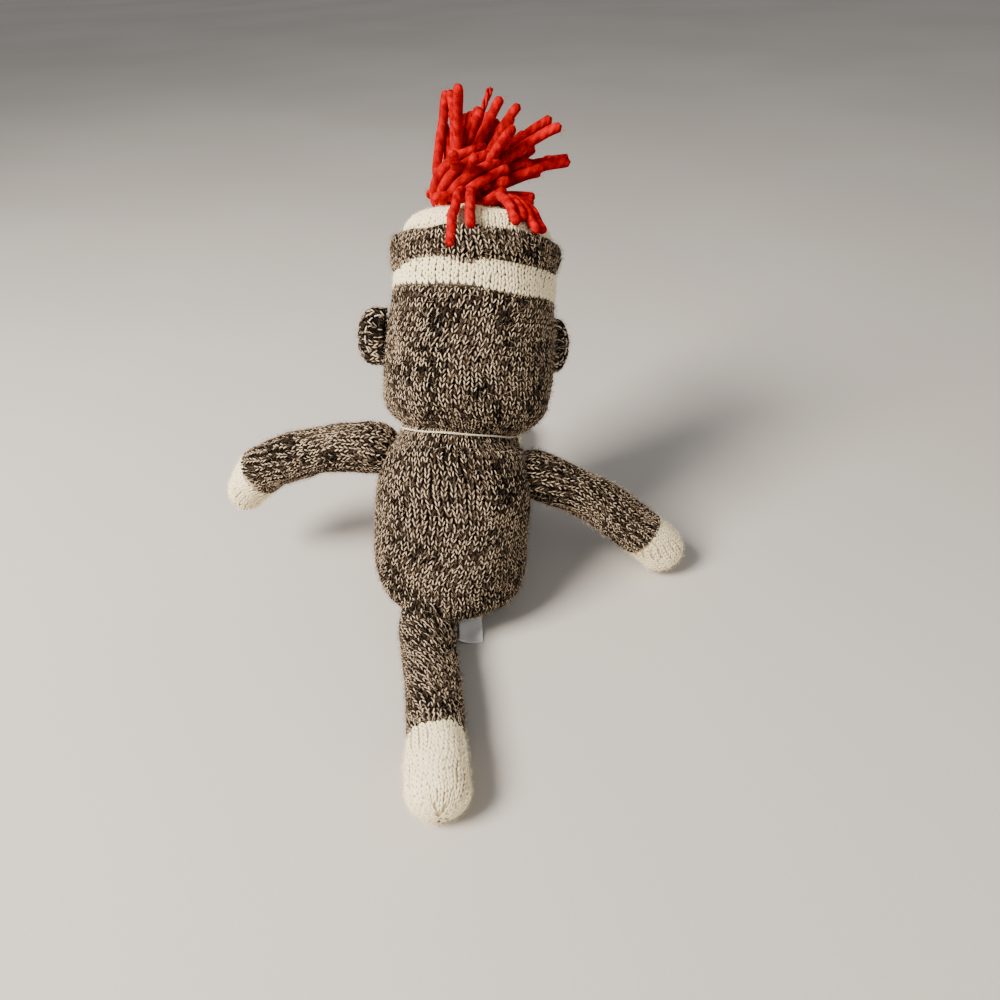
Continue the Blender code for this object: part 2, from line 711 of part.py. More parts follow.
def make_arms():
    for side, around, ahead, bend_toward, bend in (
        ("left", math.pi / 2, LEFT_ARM_AIM, (0, 0, -1), LEFT_ARM_BEND),
        ("right", -math.pi / 2, RIGHT_ARM_AIM, (0, 0, -1), RIGHT_ARM_BEND),
    ):
        level = torso_axis(SHOULDER_HEIGHT)
        skin = torso_skin(SHOULDER_HEIGHT, around, SHOULDER_OUTSET)
        tilt = Matrix.Rotation(SHOULDER_TILT, 4, "X")
        shoulder = level @ tilt @ level.inverted() @ skin
        sizes = (
            (0, 2 * ARM_ROOT_RADIUS),
            (ARM_LENGTH * WAIST_SHARE, ARM_WAIST_WIDTH),
            (ARM_LENGTH * SWELL_SHARE, ARM_WIDTH),
            (ARM_LENGTH - HAND_LENGTH, WRIST_WIDTH),
            (ARM_LENGTH - HAND_WIDTH / 2, HAND_WIDTH),
        )
        root = aimed(shoulder.translation, ahead, bend_toward)
        make_limb(side + "_arm", side + "_hand", root, sizes, ARM_LENGTH, bend, HAND_LENGTH,
                  shoulder, ARM_WAD_RADIUS)


def make_legs():
    for side, sign in (("left", 1), ("right", -1)):
        height = LEG_ROOT_RADIUS - FLOOR_SINK
        hip = Vector((sign * HIP_SPREAD, -HIP_FORWARD, height))
        sizes = (
            (0, 2 * LEG_ROOT_RADIUS),
            (LEG_LENGTH * WAIST_SHARE, LEG_WAIST_WIDTH),
            (LEG_LENGTH * SWELL_SHARE, LEG_WIDTH),
            (LEG_LENGTH - FOOT_LENGTH, ANKLE_WIDTH),
            (LEG_LENGTH - FOOT_WIDTH / 2, FOOT_WIDTH),
        )
        root = aimed(hip, (sign * math.sin(LEG_SPLAY), -math.cos(LEG_SPLAY), 0), (0, 0, 1))
        make_limb(side + "_leg", side + "_foot", root, sizes, LEG_LENGTH, 0, FOOT_LENGTH,
                  Matrix.Translation(hip), LEG_WAD_RADIUS)


def make_tail():
    rump = Vector((TAIL_ASIDE, TAIL_BACK, TAIL_ROOT_RADIUS - FLOOR_SINK))
    sizes = (
        (0, 2 * TAIL_ROOT_RADIUS),
        (TAIL_LENGTH * WAIST_SHARE, TAIL_WAIST_WIDTH),
        (TAIL_LENGTH * SWELL_SHARE, TAIL_WIDTH),
        (TAIL_LENGTH - TAIL_TIP_LENGTH, TAIL_CUFF_WIDTH),
        (TAIL_LENGTH - TAIL_TIP_WIDTH / 2, TAIL_TIP_WIDTH),
    )
    root = aimed(rump, (-math.sin(TAIL_YAW), math.cos(TAIL_YAW), 0), (0, 0, 1))
    make_limb("tail", "tail_tip", root, sizes, TAIL_LENGTH, 0, TAIL_TIP_LENGTH,
              Matrix.Translation(rump), TAIL_WAD_RADIUS)


def label_strip(name, extra, collection, finish=None):
    """The label's strip along X, that curls down to the floor, grown all round by the extra."""
    upper, lower = [], []
    for step in range(LABEL_STEPS + 1):
        way = step / LABEL_STEPS
        along = (LABEL_LENGTH + 2 * extra) * way - extra
        height = LABEL_RISE * (1 - way) ** 2
        upper.append((along, -LABEL_WIDTH / 2 - extra, height + LABEL_THICKNESS + extra))
        lower.append((along, -LABEL_WIDTH / 2 - extra, height - extra))
    shape = bmesh.new()
    outline = shape.faces.new([shape.verts.new(point) for point in upper + lower[::-1]])
    swept = bmesh.ops.extrude_face_region(shape, geom=[outline])["geom"]
    far = [found for found in swept if isinstance(found, bmesh.types.BMVert)]
    bmesh.ops.translate(shape, verts=far, vec=(0, LABEL_WIDTH + 2 * extra, 0))
    strip = new_object(name, shape, collection, finish)
    turn = Matrix.Rotation(math.pi / 2 + LABEL_YAW, 4, "Z")
    place(strip, Matrix.Translation((LABEL_ASIDE, LABEL_BACK, GAP)) @ turn)
    return strip


def make_label():
    """A strip of tape, one end of it sewn into the seam under the body."""
    label_strip("care_label", 0, parts, (WHITE, 0.6))
    cut(torso, hide_cutter(label_strip("label_slit", GAP, cutters)))


make_arms()
make_legs()
make_tail()
make_label()
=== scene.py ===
"""A knitted sock monkey doll that sits on the floor, seen from behind.

Every stuffed piece is a plain lining with rows of V-shaped stitches laid over it.
"""

import json
import math

import bpy
import numpy as np
from mathutils import Euler, Matrix, Vector


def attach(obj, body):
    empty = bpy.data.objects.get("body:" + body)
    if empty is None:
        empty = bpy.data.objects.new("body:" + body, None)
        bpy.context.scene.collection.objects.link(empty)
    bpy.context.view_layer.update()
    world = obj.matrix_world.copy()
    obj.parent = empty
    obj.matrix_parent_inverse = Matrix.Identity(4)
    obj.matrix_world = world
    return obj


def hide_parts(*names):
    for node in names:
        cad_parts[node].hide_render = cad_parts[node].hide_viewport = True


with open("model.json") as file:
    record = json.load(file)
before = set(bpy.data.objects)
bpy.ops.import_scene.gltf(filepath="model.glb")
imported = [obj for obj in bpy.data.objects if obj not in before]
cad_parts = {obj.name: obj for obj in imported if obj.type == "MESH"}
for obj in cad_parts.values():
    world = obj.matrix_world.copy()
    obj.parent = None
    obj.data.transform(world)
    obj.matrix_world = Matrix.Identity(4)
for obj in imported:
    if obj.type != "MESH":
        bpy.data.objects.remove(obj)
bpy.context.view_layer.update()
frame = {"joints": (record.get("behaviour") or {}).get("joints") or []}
bpy.ops.object.select_all(action="DESELECT")
joints = {joint["name"]: Vector(joint["pos_m"]) for joint in frame["joints"]}


# ---- Camera, floor and light ----
# The photograph was taken from above and behind the doll, with the camera tipped down.
# The floor is a plain pale sheet. A strong lamp stands to the picture's left, a weak one to
# its right.

CAMERA_PLACE, CAMERA_DOWN, HORIZON_SLOPE = (-0.015, 0.189, 0.186), 38, 0.045
bpy.ops.object.camera_add()
camera = bpy.context.object
camera.data.sensor_width = 36
camera.data.lens = 26.46
camera.data.clip_start = 0.001
tip = Matrix.Rotation(math.pi, 4, "Z") @ Matrix.Rotation(math.radians(90 - CAMERA_DOWN), 4, "X")
roll = Matrix.Rotation(-math.atan(HORIZON_SLOPE), 4, "Z")
camera.matrix_world = Matrix.Translation(CAMERA_PLACE) @ tip @ roll
bpy.context.scene.camera = camera

bpy.ops.mesh.primitive_plane_add(size=60)
floor = bpy.context.object
floor.name = "floor"

for place, size, power, colour in (
    ((0.50, 0.28, 0.62), 0.32, 20.0, (1.0, 0.93, 0.84)),
    ((-0.60, 0.60, 0.50), 0.70, 1.6, (1.0, 0.96, 0.92)),
):
    bpy.ops.object.light_add(type="AREA", location=place)
    lamp = bpy.context.object
    lamp.data.size = size
    lamp.data.energy = power
    lamp.data.color = colour
    lamp.rotation_euler = (Vector((0, 0, 0.05)) - Vector(place)).to_track_quat("-Z", "Y").to_euler()
world = bpy.data.worlds.new("studio")
bpy.context.scene.world = world
world.use_nodes = True
world.node_tree.nodes["Background"].inputs["Color"].default_value = (0.90, 0.90, 0.92, 1)
world.node_tree.nodes["Background"].inputs["Strength"].default_value = 0.40


class Wire:
    """A socket in a material's nodes. Sums of wires and numbers add the Math nodes for them."""

    def __init__(self, socket):
        self.socket = socket

    def node(self, kind, settings=None, inputs=None, output=0):
        tree = self.socket.id_data
        made = tree.nodes.new(kind)
        for name, value in (settings or {}).items():
            setattr(made, name, value)
        for name, value in (inputs or {}).items():
            if isinstance(value, Wire):
                tree.links.new(value.socket, made.inputs[name])
            else:
                made.inputs[name].default_value = value
        return Wire(made.outputs[output])

    def maths(self, operation, first, second=0.0):
        return self.node("ShaderNodeMath", {"operation": operation}, {0: first, 1: second})

    def __add__(self, other):
        return self.maths("ADD", self, other)

    def __sub__(self, other):
        return self.maths("SUBTRACT", self, other)

    def __rsub__(self, other):
        return self.maths("SUBTRACT", other, self)

    def __mul__(self, other):
        return self.maths("MULTIPLY", self, other)

    __radd__ = __add__
    __rmul__ = __mul__

    def __abs__(self):
        return self.maths("ABSOLUTE", self)

    def wave(self):
        return self.maths("SINE", self * math.tau)

    def fade(self, low, high):
        """From 0 to 1 as this goes from low to high, with soft ends."""
        return self.node(
            "ShaderNodeMapRange", {"interpolation_type": "SMOOTHSTEP"}, {0: self, 1: low, 2: high}
        )

    def mix(self, first, second):
        """From the first colour to the second as this goes from 0 to 1."""
        return self.node(
            "ShaderNodeMix", {"data_type": "RGBA"}, {"Factor": self, 6: first, 7: second}, 2
        )

    def noise(self, scale, detail=2.0):
        inputs = {"Vector": self, "Scale": scale, "Detail": detail}
        return self.node("ShaderNodeTexNoise", None, inputs)

    def parts(self):
        first = self.node("ShaderNodeSeparateXYZ", None, {0: self})
        return [Wire(socket) for socket in first.socket.node.outputs]


def new_finish(name, roughness, sheen=0.0):
    """A material with its shader, and the wires of its object and its UV coordinates."""
    finish = bpy.data.materials.new(name)
    finish.use_nodes = True
    nodes = finish.node_tree.nodes
    shader = nodes["Principled BSDF"]
    shader.inputs["Roughness"].default_value = roughness
    shader.inputs["Specular IOR Level"].default_value = 0.1
    shader.inputs["Sheen Weight"].default_value = sheen
    shader.inputs["Sheen Roughness"].default_value = 0.5
    place = nodes.new("ShaderNodeTexCoord")
    return finish, shader, Wire(place.outputs["Object"]), Wire(place.outputs["UV"])


def paint(shader, colour, height=None, depth=0.0):
    """Links the colour, and a bump of this depth where there is a height."""
    tree = shader.id_data
    tree.links.new(colour.socket, shader.inputs["Base Color"])
    if height:
        bump = height.node("ShaderNodeBump", None, {"Height": height, "Distance": depth})
        tree.links.new(bump.socket, shader.inputs["Normal"])


floor_paper, shader, at, uv = new_finish("floor_paper", 0.7)
shade = at.noise(3).fade(0.3, 0.7).mix((0.50, 0.47, 0.43, 1), (0.54, 0.51, 0.47, 1))
paint(shader, shade, at.noise(900), 0.00005)
floor.data.materials.append(floor_paper)


# ---- The body ----
# The body is a tube of marled sock knit, gathered at the seat and the neck and stuffed full.
# It leans forward over its seat. One leg of a V stitch is modelled, mirrored, and laid in rows.

COURSE = 0.00144


class Skin:
    """The outside of a stuffed piece, reached by the angle around its axis and metres of knit.

    across and deep are its half sizes at each height of its axis, which may bend toward its own
    X. press moves points of the skin in the piece's own frame. Each cup is the middle and the
    radius of a ball that sits in the skin, such as the root of a limb.
    """

    cups = ()

    def __init__(self, place, across, deep, height, bend=0.0, length=1.0, press=None):
        self.place, self.across, self.deep, self.height = place, across, deep, height
        steps = np.hypot(np.diff((across + deep) / 2), np.diff(height))
        self.along = np.concatenate([[0], np.cumsum(steps)])
        self.total = self.along[-1]
        self.bend, self.length, self.press = bend, length, press

    def girth(self, along):
        return math.tau * np.interp(along, self.along, (self.across + self.deep) / 2)

    def reach(self, around, along):
        z = np.interp(along, self.along, self.height)
        across = np.interp(along, self.along, self.across)
        deep = np.interp(along, self.along, self.deep)
        even = around + (across - deep) / (across + deep + 1e-9) / 2 * np.sin(2 * around)
        x, y = across * np.cos(even), deep * np.sin(even)
        if self.press:
            x, y, z = self.press(x, y, z)
        if self.bend:
            turn = self.bend * np.maximum(z, 0) / self.length
            radius = self.length / self.bend
            x, z = (
                radius * (1 - np.cos(turn)) + x * np.cos(turn),
                np.minimum(z, 0) + radius * np.sin(turn) - x * np.sin(turn),
            )
        return moved(np.stack([x, y, z], axis=-1), self.place)

    def at(self, around, along, out=0.0):
        """Points that stand out from the skin, none of them under the floor."""
        along = np.clip(along, 0.0003, self.total - 0.0003)
        point = self.reach(around, along)
        ahead = self.reach(around, along + 0.0002) - self.reach(around, along - 0.0002)
        aside = self.reach(around + 0.02, along) - self.reach(around - 0.02, along)
        normal = np.cross(aside, ahead)
        normal /= np.linalg.norm(normal, axis=-1, keepdims=True) + 1e-12
        for middle, radius in self.cups:
            off = point - np.array(middle)
            high = (off * normal).sum(axis=-1)
            inside = radius**2 - (off**2).sum(axis=-1)
            sink = high + np.sqrt(np.maximum(high**2 + inside, 0))
            point = point - normal * np.where(inside > 0, sink, 0)[..., None]
        out = np.broadcast_to(out, point.shape[:-1]) + lumps(point)
        point = point + normal * out[..., None]
        point[..., 2] = np.maximum(point[..., 2], 0.0001)
        return point


def moved(points, place):
    """Points of a piece's own frame, where this frame stands."""
    place = np.array(place)
    return points @ place[:3, :3].T + place[:3, 3]


def lumps(point):
    """How far the filling pushes the knit out, in soft waves that run on from piece to piece."""
    rng = np.random.default_rng(11)
    height = np.zeros(point.shape[:-1])
    for reach, size in ((0.030, 0.00013), (0.017, 0.00009), (0.009, 0.00005)):
        for wave in range(3):
            way = rng.normal(size=3)
            way *= math.tau / reach / np.linalg.norm(way)
            height += size * np.sin(point @ way + rng.uniform(0, math.tau))
    return height


def eased(keys, at):
    """The size at each place, where each key is a place and the size there."""
    places, sizes = np.array(keys).T
    low = np.clip(np.searchsorted(places, at, side="right") - 1, 0, len(places) - 2)
    way = np.clip((at - places[low]) / (places[low + 1] - places[low]), 0, 1)
    return sizes[low] + (sizes[low + 1] - sizes[low]) * way * way * (3 - 2 * way)


def stuffed(
    place, across, deep, start, end, start_cap, end_cap, bend=0.0, length=1.0, press=None
):
    """A skin whose sizes follow keys along its axis and close in round at its capped ends."""
    turn = np.linspace(0, math.pi / 2, 20)
    height = np.linspace(start + start_cap, end - end_cap, 60)
    if start_cap:
        height = np.concatenate([start + start_cap * (1 - np.cos(turn[:-1])), height])
    if end_cap:
        height = np.concatenate([height, end - end_cap * (1 - np.cos(turn[-2::-1]))])
    swell = np.ones_like(height)
    for cap, inside in ((start_cap, height - start), (end_cap, end - height)):
        if cap:
            swell *= np.sqrt(1 - (1 - np.clip(inside / cap, 0, 1)) ** 2)
    return Skin(
        place, eased(across, height) * swell / 2, eased(deep, height) * swell / 2, height,
        bend, length, press,
    )


# One leg of a stitch, from the point of the V up and out: a strip of yarn, round on top.
bpy.ops.mesh.primitive_grid_add(x_subdivisions=3, y_subdivisions=4, size=1)
stitch = bpy.context.object
for vert in stitch.data.vertices:
    side, rise = vert.co.x * 2, vert.co.y + 0.5
    full = 0.30 + 0.70 * math.sin(math.pi * (0.08 + 0.84 * rise)) ** 0.8
    middle = 0.05 + 0.36 * rise
    turn = math.radians(105) * side
    vert.co.x = middle + 0.195 * full * math.sin(turn)
    vert.co.y = -0.14 + 1.26 * rise - 0.14 * math.sin(turn)
    vert.co.z = 0.00042 * full * math.cos(turn) - 0.00034 * (2 * rise - 1) ** 2
bpy.ops.object.modifier_add(type="MIRROR")
stitch.modifiers["Mirror"].use_mirror_merge = False
stitch.modifiers["Mirror"].use_mirror_u = True
bpy.ops.object.modifier_apply(modifier="Mirror")
stitch_points = np.array([vert.co for vert in stitch.data.vertices])
stitch_faces = np.array([list(face.vertices) for face in stitch.data.polygons])
stitch_uv = np.array([corner.uv for corner in stitch.data.uv_layers[0].data])
bpy.data.objects.remove(stitch)


def from_points(name, points, faces, uv):
    """A piece made of many copies of one small shape, from their points and their shared faces."""
    copies, size = points.shape[:2]
    every = faces[None] + (np.arange(copies) * size)[:, None, None]
    mesh = bpy.data.meshes.new(name)
    mesh.from_pydata(points.reshape(-1, 3).tolist(), [], every.reshape(-1, faces.shape[1]).tolist())
    mesh.uv_layers.new(name="UVMap").data.foreach_set("uv", uv.ravel())
    piece = bpy.data.objects.new(name, mesh)
    bpy.context.collection.objects.link(piece)
    return piece


def knit(name, skin, first, last, wales, seed, twist=0.0, relief=1.0, course=COURSE, facing=None):
    """Rows of stitches over a skin, from one distance along it to another.

    Where the piece narrows, every second stitch of a row is left out. twist is in turns a metre,
    and facing holds the two angles that the rows keep between.
    """
    rng = np.random.default_rng(seed)
    rows = max(1, round((last - first) / course))
    step = (last - first) / rows
    widest = skin.girth(np.linspace(first, last, 50)).max() / wales
    angle, wide, along = [], [], []
    for row in range(rows):
        place = first + (row + 0.5) * step
        count = wales
        while skin.girth(place) / count < 0.55 * widest and count > 5:
            count = (count + 1) // 2
        turns = (np.arange(count) + 0.5) / count + twist * place
        angle.append(turns * math.tau)
        wide.append(np.full(count, math.tau / count))
        along.append(np.full(count, place))
    angle, wide, along = (np.concatenate(values) for values in (angle, wide, along))
    if facing:
        turned = np.mod(angle - facing[0], math.tau) < facing[1] - facing[0]
        angle, wide, along = angle[turned], wide[turned], along[turned]
    waver = rng.uniform(0, math.tau, 6)
    waves = np.sin(2 * angle + waver[0]) + 0.7 * np.sin(5 * angle + waver[1])
    along = along + course * 0.35 * waves
    wander = along * 120 + waver[2] + 1.5 * np.sin(angle + waver[3])
    shiver = along * 520 + waver[4] + 3 * angle
    slope = wide * (120 * 0.9 * np.cos(wander) + 520 * 0.14 * np.cos(shiver)) + twist * math.tau
    angle = angle + wide * (0.9 * np.sin(wander) + 0.14 * np.sin(shiver))
    count = len(angle)
    jitter = rng.normal(0, 1, (count, 4))
    around = (angle + wide * 0.05 * jitter[:, 0])[:, None] + stitch_points[:, 0] * wide[:, None]
    around = around + slope[:, None] * stitch_points[:, 1] * step
    along = (along + step * 0.07 * jitter[:, 1])[:, None] + stitch_points[:, 1] * step
    out = stitch_points[:, 2] * relief * (1 + 0.12 * jitter[:, 2])[:, None]
    out = out + 0.00005 * jitter[:, 3][:, None]
    uv = np.tile(stitch_uv, (count, 1)).reshape(count, 2, -1, 2) * 0.98 + 0.01
    uv = uv + rng.integers(0, 64, (count, 2, 1, 2))
    return from_points(name, skin.at(around, along, out), stitch_faces, uv)


FIBRE_HALF_WIDTH = 0.00003


def ribbons(spine, rng):
    """The edges of thin ribbons along these rows of four points, narrower at their far ends."""
    side = np.cross(np.gradient(spine, axis=1), rng.normal(size=(len(spine), 1, 3)))
    wide = (FIBRE_HALF_WIDTH * (1 - 0.6 * (np.arange(4) / 3)))[:, None]
    side *= wide / (np.linalg.norm(side, axis=2, keepdims=True) + 1e-12)
    return np.concatenate([spine - side, spine + side], axis=1)


def fibres(name, points, rng):
    """Loose fibres as one piece, each a ribbon of three faces."""
    points = np.concatenate(points)
    faces = np.array([[row, row + 4, row + 5, row + 1] for row in range(3)])
    uv = np.full((len(points), 12, 2), 0.5) + rng.integers(0, 64, (len(points), 1, 2))
    return from_points(name, points, faces, uv)


def fuzz(name, skin, first, last, thick, seed, reach=0.0016):
    """Loose fibres over a skin; thick is how many a mm2."""
    rng = np.random.default_rng(seed)
    area = skin.girth(np.linspace(first, last, 50)).mean() * (last - first)
    count = int(area * 1e6 * thick)
    along = rng.uniform(first, last, count * 2)
    likely = skin.girth(along) / skin.girth(along).max()
    along = along[rng.uniform(0, 1, count * 2) < likely][:count]
    count = len(along)
    angle = rng.uniform(0, math.tau, count)
    way = np.arange(4) / 3
    swing = rng.normal(0, 1, (count, 2)) * 0.0009
    curl = rng.normal(0, 1, (count, 2)) * 0.0005
    radius = skin.girth(along)[:, None] / math.tau + 0.002
    around = (swing[:, :1] * way + curl[:, :1] * way**2) / radius
    ahead = swing[:, 1:] * way + curl[:, 1:] * way**2
    out = 0.0002 + reach * rng.uniform(0.25, 1, count)[:, None] * way
    spine = skin.at(angle[:, None] + around, along[:, None] + ahead, out)
    return fibres(name, [ribbons(spine, rng)], rng)


LINING_DEPTH = 0.0004


def lining(name, skin, first, last, segments, rings):
    """A closed bag just under the stitches, from a ball whose rings are drawn along the skin."""
    bpy.ops.mesh.primitive_uv_sphere_add(segments=segments, ring_count=rings, radius=1)
    bag = bpy.context.object
    bag.name = name
    point = np.array([vert.co for vert in bag.data.vertices])
    around = np.arctan2(point[:, 1], point[:, 0])
    share = np.arccos(np.clip(-point[:, 2], -1, 1)) / math.pi
    laid = skin.at(around, first + share * (last - first), -LINING_DEPTH)
    near = 1.5 / rings
    for pole, ring in ((share < 1e-3, share < near), (share > 0.999, share > 1 - near)):
        laid[pole] = laid[ring & ~pole].mean(axis=0)
    bag.data.vertices.foreach_set("co", laid.ravel())
    return bag


def joined(bag, inner, outer, *layers):
    """The lining in its inner finish and all that is laid over it in the outer, as one object."""
    bpy.ops.object.select_all(action="DESELECT")
    for piece, finish in ((bag, inner), *((layer, outer) for layer in layers)):
        piece.data.materials.append(finish)
        piece.select_set(True)
    bpy.context.view_layer.objects.active = bag
    bpy.ops.object.join()
    bpy.ops.object.select_all(action="DESELECT")
    return bag


def finished(piece, body, nodes):
    """The piece is shaded smooth, rides on its body and stands for its nodes, which are hidden."""
    piece.data.shade_smooth()
    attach(piece, body)
    if nodes:
        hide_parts(*nodes)


def knitted(name, skin, bag, rows, hairs, yarn, body, node):
    """A lining, its stitches and its loose fibres as one piece that stands for a node.

    bag, rows and hairs are what lining, knit and fuzz are told. yarn is the finish of the
    lining, the finish of what lies over it, and a slot name, which is not used.
    """
    inner, outer, slot = yarn
    bag = lining(name + "_knit", skin, *bag)
    layers = knit(name + "_rows", skin, *rows), fuzz(name + "_fuzz", skin, *hairs)
    finished(joined(bag, inner, outer, *layers), body, [node])


def stitch_place(uv):
    """Across and along a leg of a stitch, from 0 to 1, and three chances of its own."""
    cell = uv.node("ShaderNodeVectorMath", {"operation": "FLOOR"}, {0: uv})
    across, rise, _ = uv.node("ShaderNodeVectorMath", {"operation": "FRACTION"}, {0: uv}).parts()
    chance = cell.node("ShaderNodeTexWhiteNoise", {"noise_dimensions": "2D"}, {"Vector": cell}, 1)
    return across, rise, chance.parts()


# Each leg shows the pale one of the yarn's two threads as a bar, more or less in its middle.
marl, shader, at, uv = new_finish("marl_yarn", 1.0)
across, rise, (first, second, third) = stitch_place(uv)
patch = at.noise(85).fade(0.32, 0.68)
middle = 0.5 + (first - 0.5) * 0.30 + (rise - 0.5) * (second - 0.5) * 0.7
off = abs(across - middle) + (at.noise(2600) - 0.5) * 0.07
length = 1.0 - abs(rise - 0.5 - (first - 0.5) * 0.2).fade(0.22, 0.46)
bar = (1.0 - off.fade(0.03, 0.15)) * (third + patch * 0.30 - 0.10).fade(0.15, 0.75) * length
# Each brown leg darkens toward its edges as painted shade; its tone also changes at random from leg
# to leg and in patches.
shade = (first * 0.5 + patch * 0.3 + (1.0 - abs(across - 0.5) * 2.0) * 0.35).fade(0.25, 0.95)
brown = shade.mix((0.0025, 0.0016, 0.001, 1), (0.038, 0.024, 0.015, 1))
fibre = at.noise(3000)
paint(shader, bar.mix(brown, (0.72, 0.55, 0.38, 1)), bar * 0.5 + fibre, 0.00006)


def back_and_shade_finish(name, low, high, dark, light):
    """The back of a knit between its stitches; where darker than its yarn, it is painted shade."""
    finish, shader, at, _ = new_finish(name, 1.0)
    paint(shader, at.noise(1500, 3).fade(low, high).mix((*dark, 1), (*light, 1)))
    return finish


# Under the brown knit the back is near black: painted shade in the holes between the stitches, over
# the yarn's own dark brown.
hole_shade_backing = back_and_shade_finish("knit_back_painted_shade", 0.4, 0.75, (0.002, 0.0015, 0.001), (0.010, 0.007, 0.0045))
marled = hole_shade_backing, marl, "marled_knit"

SEAT_ROUNDING, BODY_LENGTH = 0.0115, 0.0610
SEAT_LEAN, NECK_LEAN, SIDE_LEAN = math.radians(13), math.radians(28), math.radians(-6.5)
SEAT_WIDTH, SEAT_DEPTH = 0.0445, 0.0440
NECK_BALL, NECK_MIDDLE = 0.0190, BODY_LENGTH - 0.0075
upright = Matrix.Rotation(SIDE_LEAN, 4, "Y") @ Matrix.Rotation(-math.pi / 2, 4, "Z")
body_turn = upright @ Matrix.Rotation(SEAT_LEAN, 4, "Y")
seat_sizes = Matrix.Diagonal(((SEAT_DEPTH / 2) ** 2, (SEAT_WIDTH / 2) ** 2, SEAT_ROUNDING**2))
down = body_turn.to_3x3() @ seat_sizes @ body_turn.to_3x3().transposed() @ Vector((0, 0, -1))
body_place = Matrix.Translation(Vector((0, 0, -0.0005)) - down / math.sqrt(-down.z))
body_place = body_place @ body_turn @ Matrix.Translation((0, 0, -SEAT_ROUNDING))
body_bend = NECK_LEAN - SEAT_LEAN
body_deep, body_wide = (
    [(0, seat), (BODY_LENGTH * low, full), (BODY_LENGTH * high, full), (BODY_LENGTH, neck)]
    for seat, low, high, full, neck in (
        (SEAT_DEPTH, 0.36, 0.60, 0.0480, 0.0410), (SEAT_WIDTH, 0.32, 0.66, 0.0505, 0.0430),
    )
)
trunk = stuffed(
    body_place, body_deep, body_wide, 0, BODY_LENGTH - 0.0008, SEAT_ROUNDING, 0.0052
)
below = (trunk.across > NECK_BALL * 0.95) | (trunk.height < BODY_LENGTH / 2)
turn = np.linspace(math.acos(0.0058 / NECK_BALL), 0, 16)
neck_half = NECK_BALL * np.sin(turn)
body_skin = Skin(
    body_place, np.concatenate([trunk.across[below], neck_half]),
    np.concatenate([trunk.deep[below], neck_half]),
    np.concatenate([trunk.height[below], NECK_MIDDLE + NECK_BALL * np.cos(turn)]),
    body_bend, BODY_LENGTH,
)
ARM_ROOT, LEG_ROOT, TAIL_ROOT = 0.0079, 0.0088, 0.0088
body_skin.cups = [
    (joints["left_shoulder_raise"], ARM_ROOT), (joints["right_shoulder_raise"], ARM_ROOT),
    (joints["left_hip_raise"], LEG_ROOT), (joints["right_hip_raise"], LEG_ROOT),
    (joints["tail_lift"], TAIL_ROOT),
]
knitted(
    "body", body_skin, (0, body_skin.total, 64, 56), (0.003, body_skin.total - 0.004, 64, 1),
    (0.003, body_skin.total - 0.016, 1.3, 101), marled, "torso", "torso",
)


def body_axis(station):
    """The frame of the body's axis at this distance from the seat."""
    turn = body_bend * station / BODY_LENGTH
    radius = BODY_LENGTH / body_bend
    point = Vector((radius * (1 - math.cos(turn)), 0, radius * math.sin(turn)))
    return body_place @ Matrix.Translation(point) @ Matrix.Rotation(turn, 4, "Y")


# ---- The head ----
# The head is a second stuffed tube, wider than deep, gathered on a thread round the neck.
# Its knit runs on upward, and the hat's cream band follows where the brown yarn ends.

HEAD_HEIGHT, HEAD_DROP, BROW_WIDTH, HEAD_WIDTH = 0.0422, 0.0030, 0.0505, 0.0533
HEAD_FLATNESS = 0.0500 / HEAD_WIDTH
head_tall = HEAD_HEIGHT + HEAD_DROP
head_wide = [
    (-HEAD_DROP, 0.0510), (0.54 * head_tall - HEAD_DROP, HEAD_WIDTH),
    (0.62 * head_tall - HEAD_DROP, HEAD_WIDTH), (HEAD_HEIGHT, BROW_WIDTH),
]
head_deep = [(height, wide * HEAD_FLATNESS) for height, wide in head_wide]
seam_point = body_axis(BODY_LENGTH).translation - Vector((0.0022, 0, 0))
head_turn = Euler((math.radians(30), math.radians(-8.5), 0)).to_matrix().to_4x4()
head_place = Matrix.Translation(seam_point) @ head_turn @ Matrix.Rotation(math.radians(12), 4, "Z")
neck_middle = body_axis(NECK_MIDDLE).translation
head_skin = stuffed(head_place, head_wide, head_deep, -HEAD_DROP, HEAD_HEIGHT, 0.0128, 0)
head_skin.cups = [(neck_middle, NECK_BALL + 0.0009)]
knitted(
    "head", head_skin, (0, head_skin.total, 56, 44), (0.006, head_skin.total, 70, 2),
    (0.014, head_skin.total, 1.3, 102), marled, "head", "head",
)


def head_spot(height, around, outset=0.0):
    """A frame on the head's skin, its X pointing out, at an angle from the face to the left."""
    half = float(eased(head_wide, np.array([height]))[0]) / 2
    point = Vector((half * math.sin(around), -half * HEAD_FLATNESS * math.cos(around), height))
    out = Vector((math.sin(around) * HEAD_FLATNESS, -math.cos(around), 0)).normalized()
    turn = Matrix.Rotation(math.atan2(out.y, out.x), 4, "Z")
    return head_place @ Matrix.Translation(point + out * outset) @ turn


# ---- The seam at the neck ----
# A doubled cream thread is drawn tight round the neck, where the head is sewn to the body.


def between(places, stations, points):
    """The points at these places of a row of points, each of which stands at its station."""
    return np.stack([np.interp(places, stations, points[:, axis]) for axis in range(3)], axis=1)


def unit(vectors):
    return vectors / np.linalg.norm(vectors, axis=1, keepdims=True)


PATH_POINTS = 40


def along_path(path):
    """The path as PATH_POINTS points, evenly spaced."""
    path = np.array(path, dtype=float)
    way = np.concatenate([[0], np.cumsum(np.linalg.norm(np.diff(path, axis=0), axis=1))])
    return between(np.linspace(0, way[-1], PATH_POINTS), way, path)


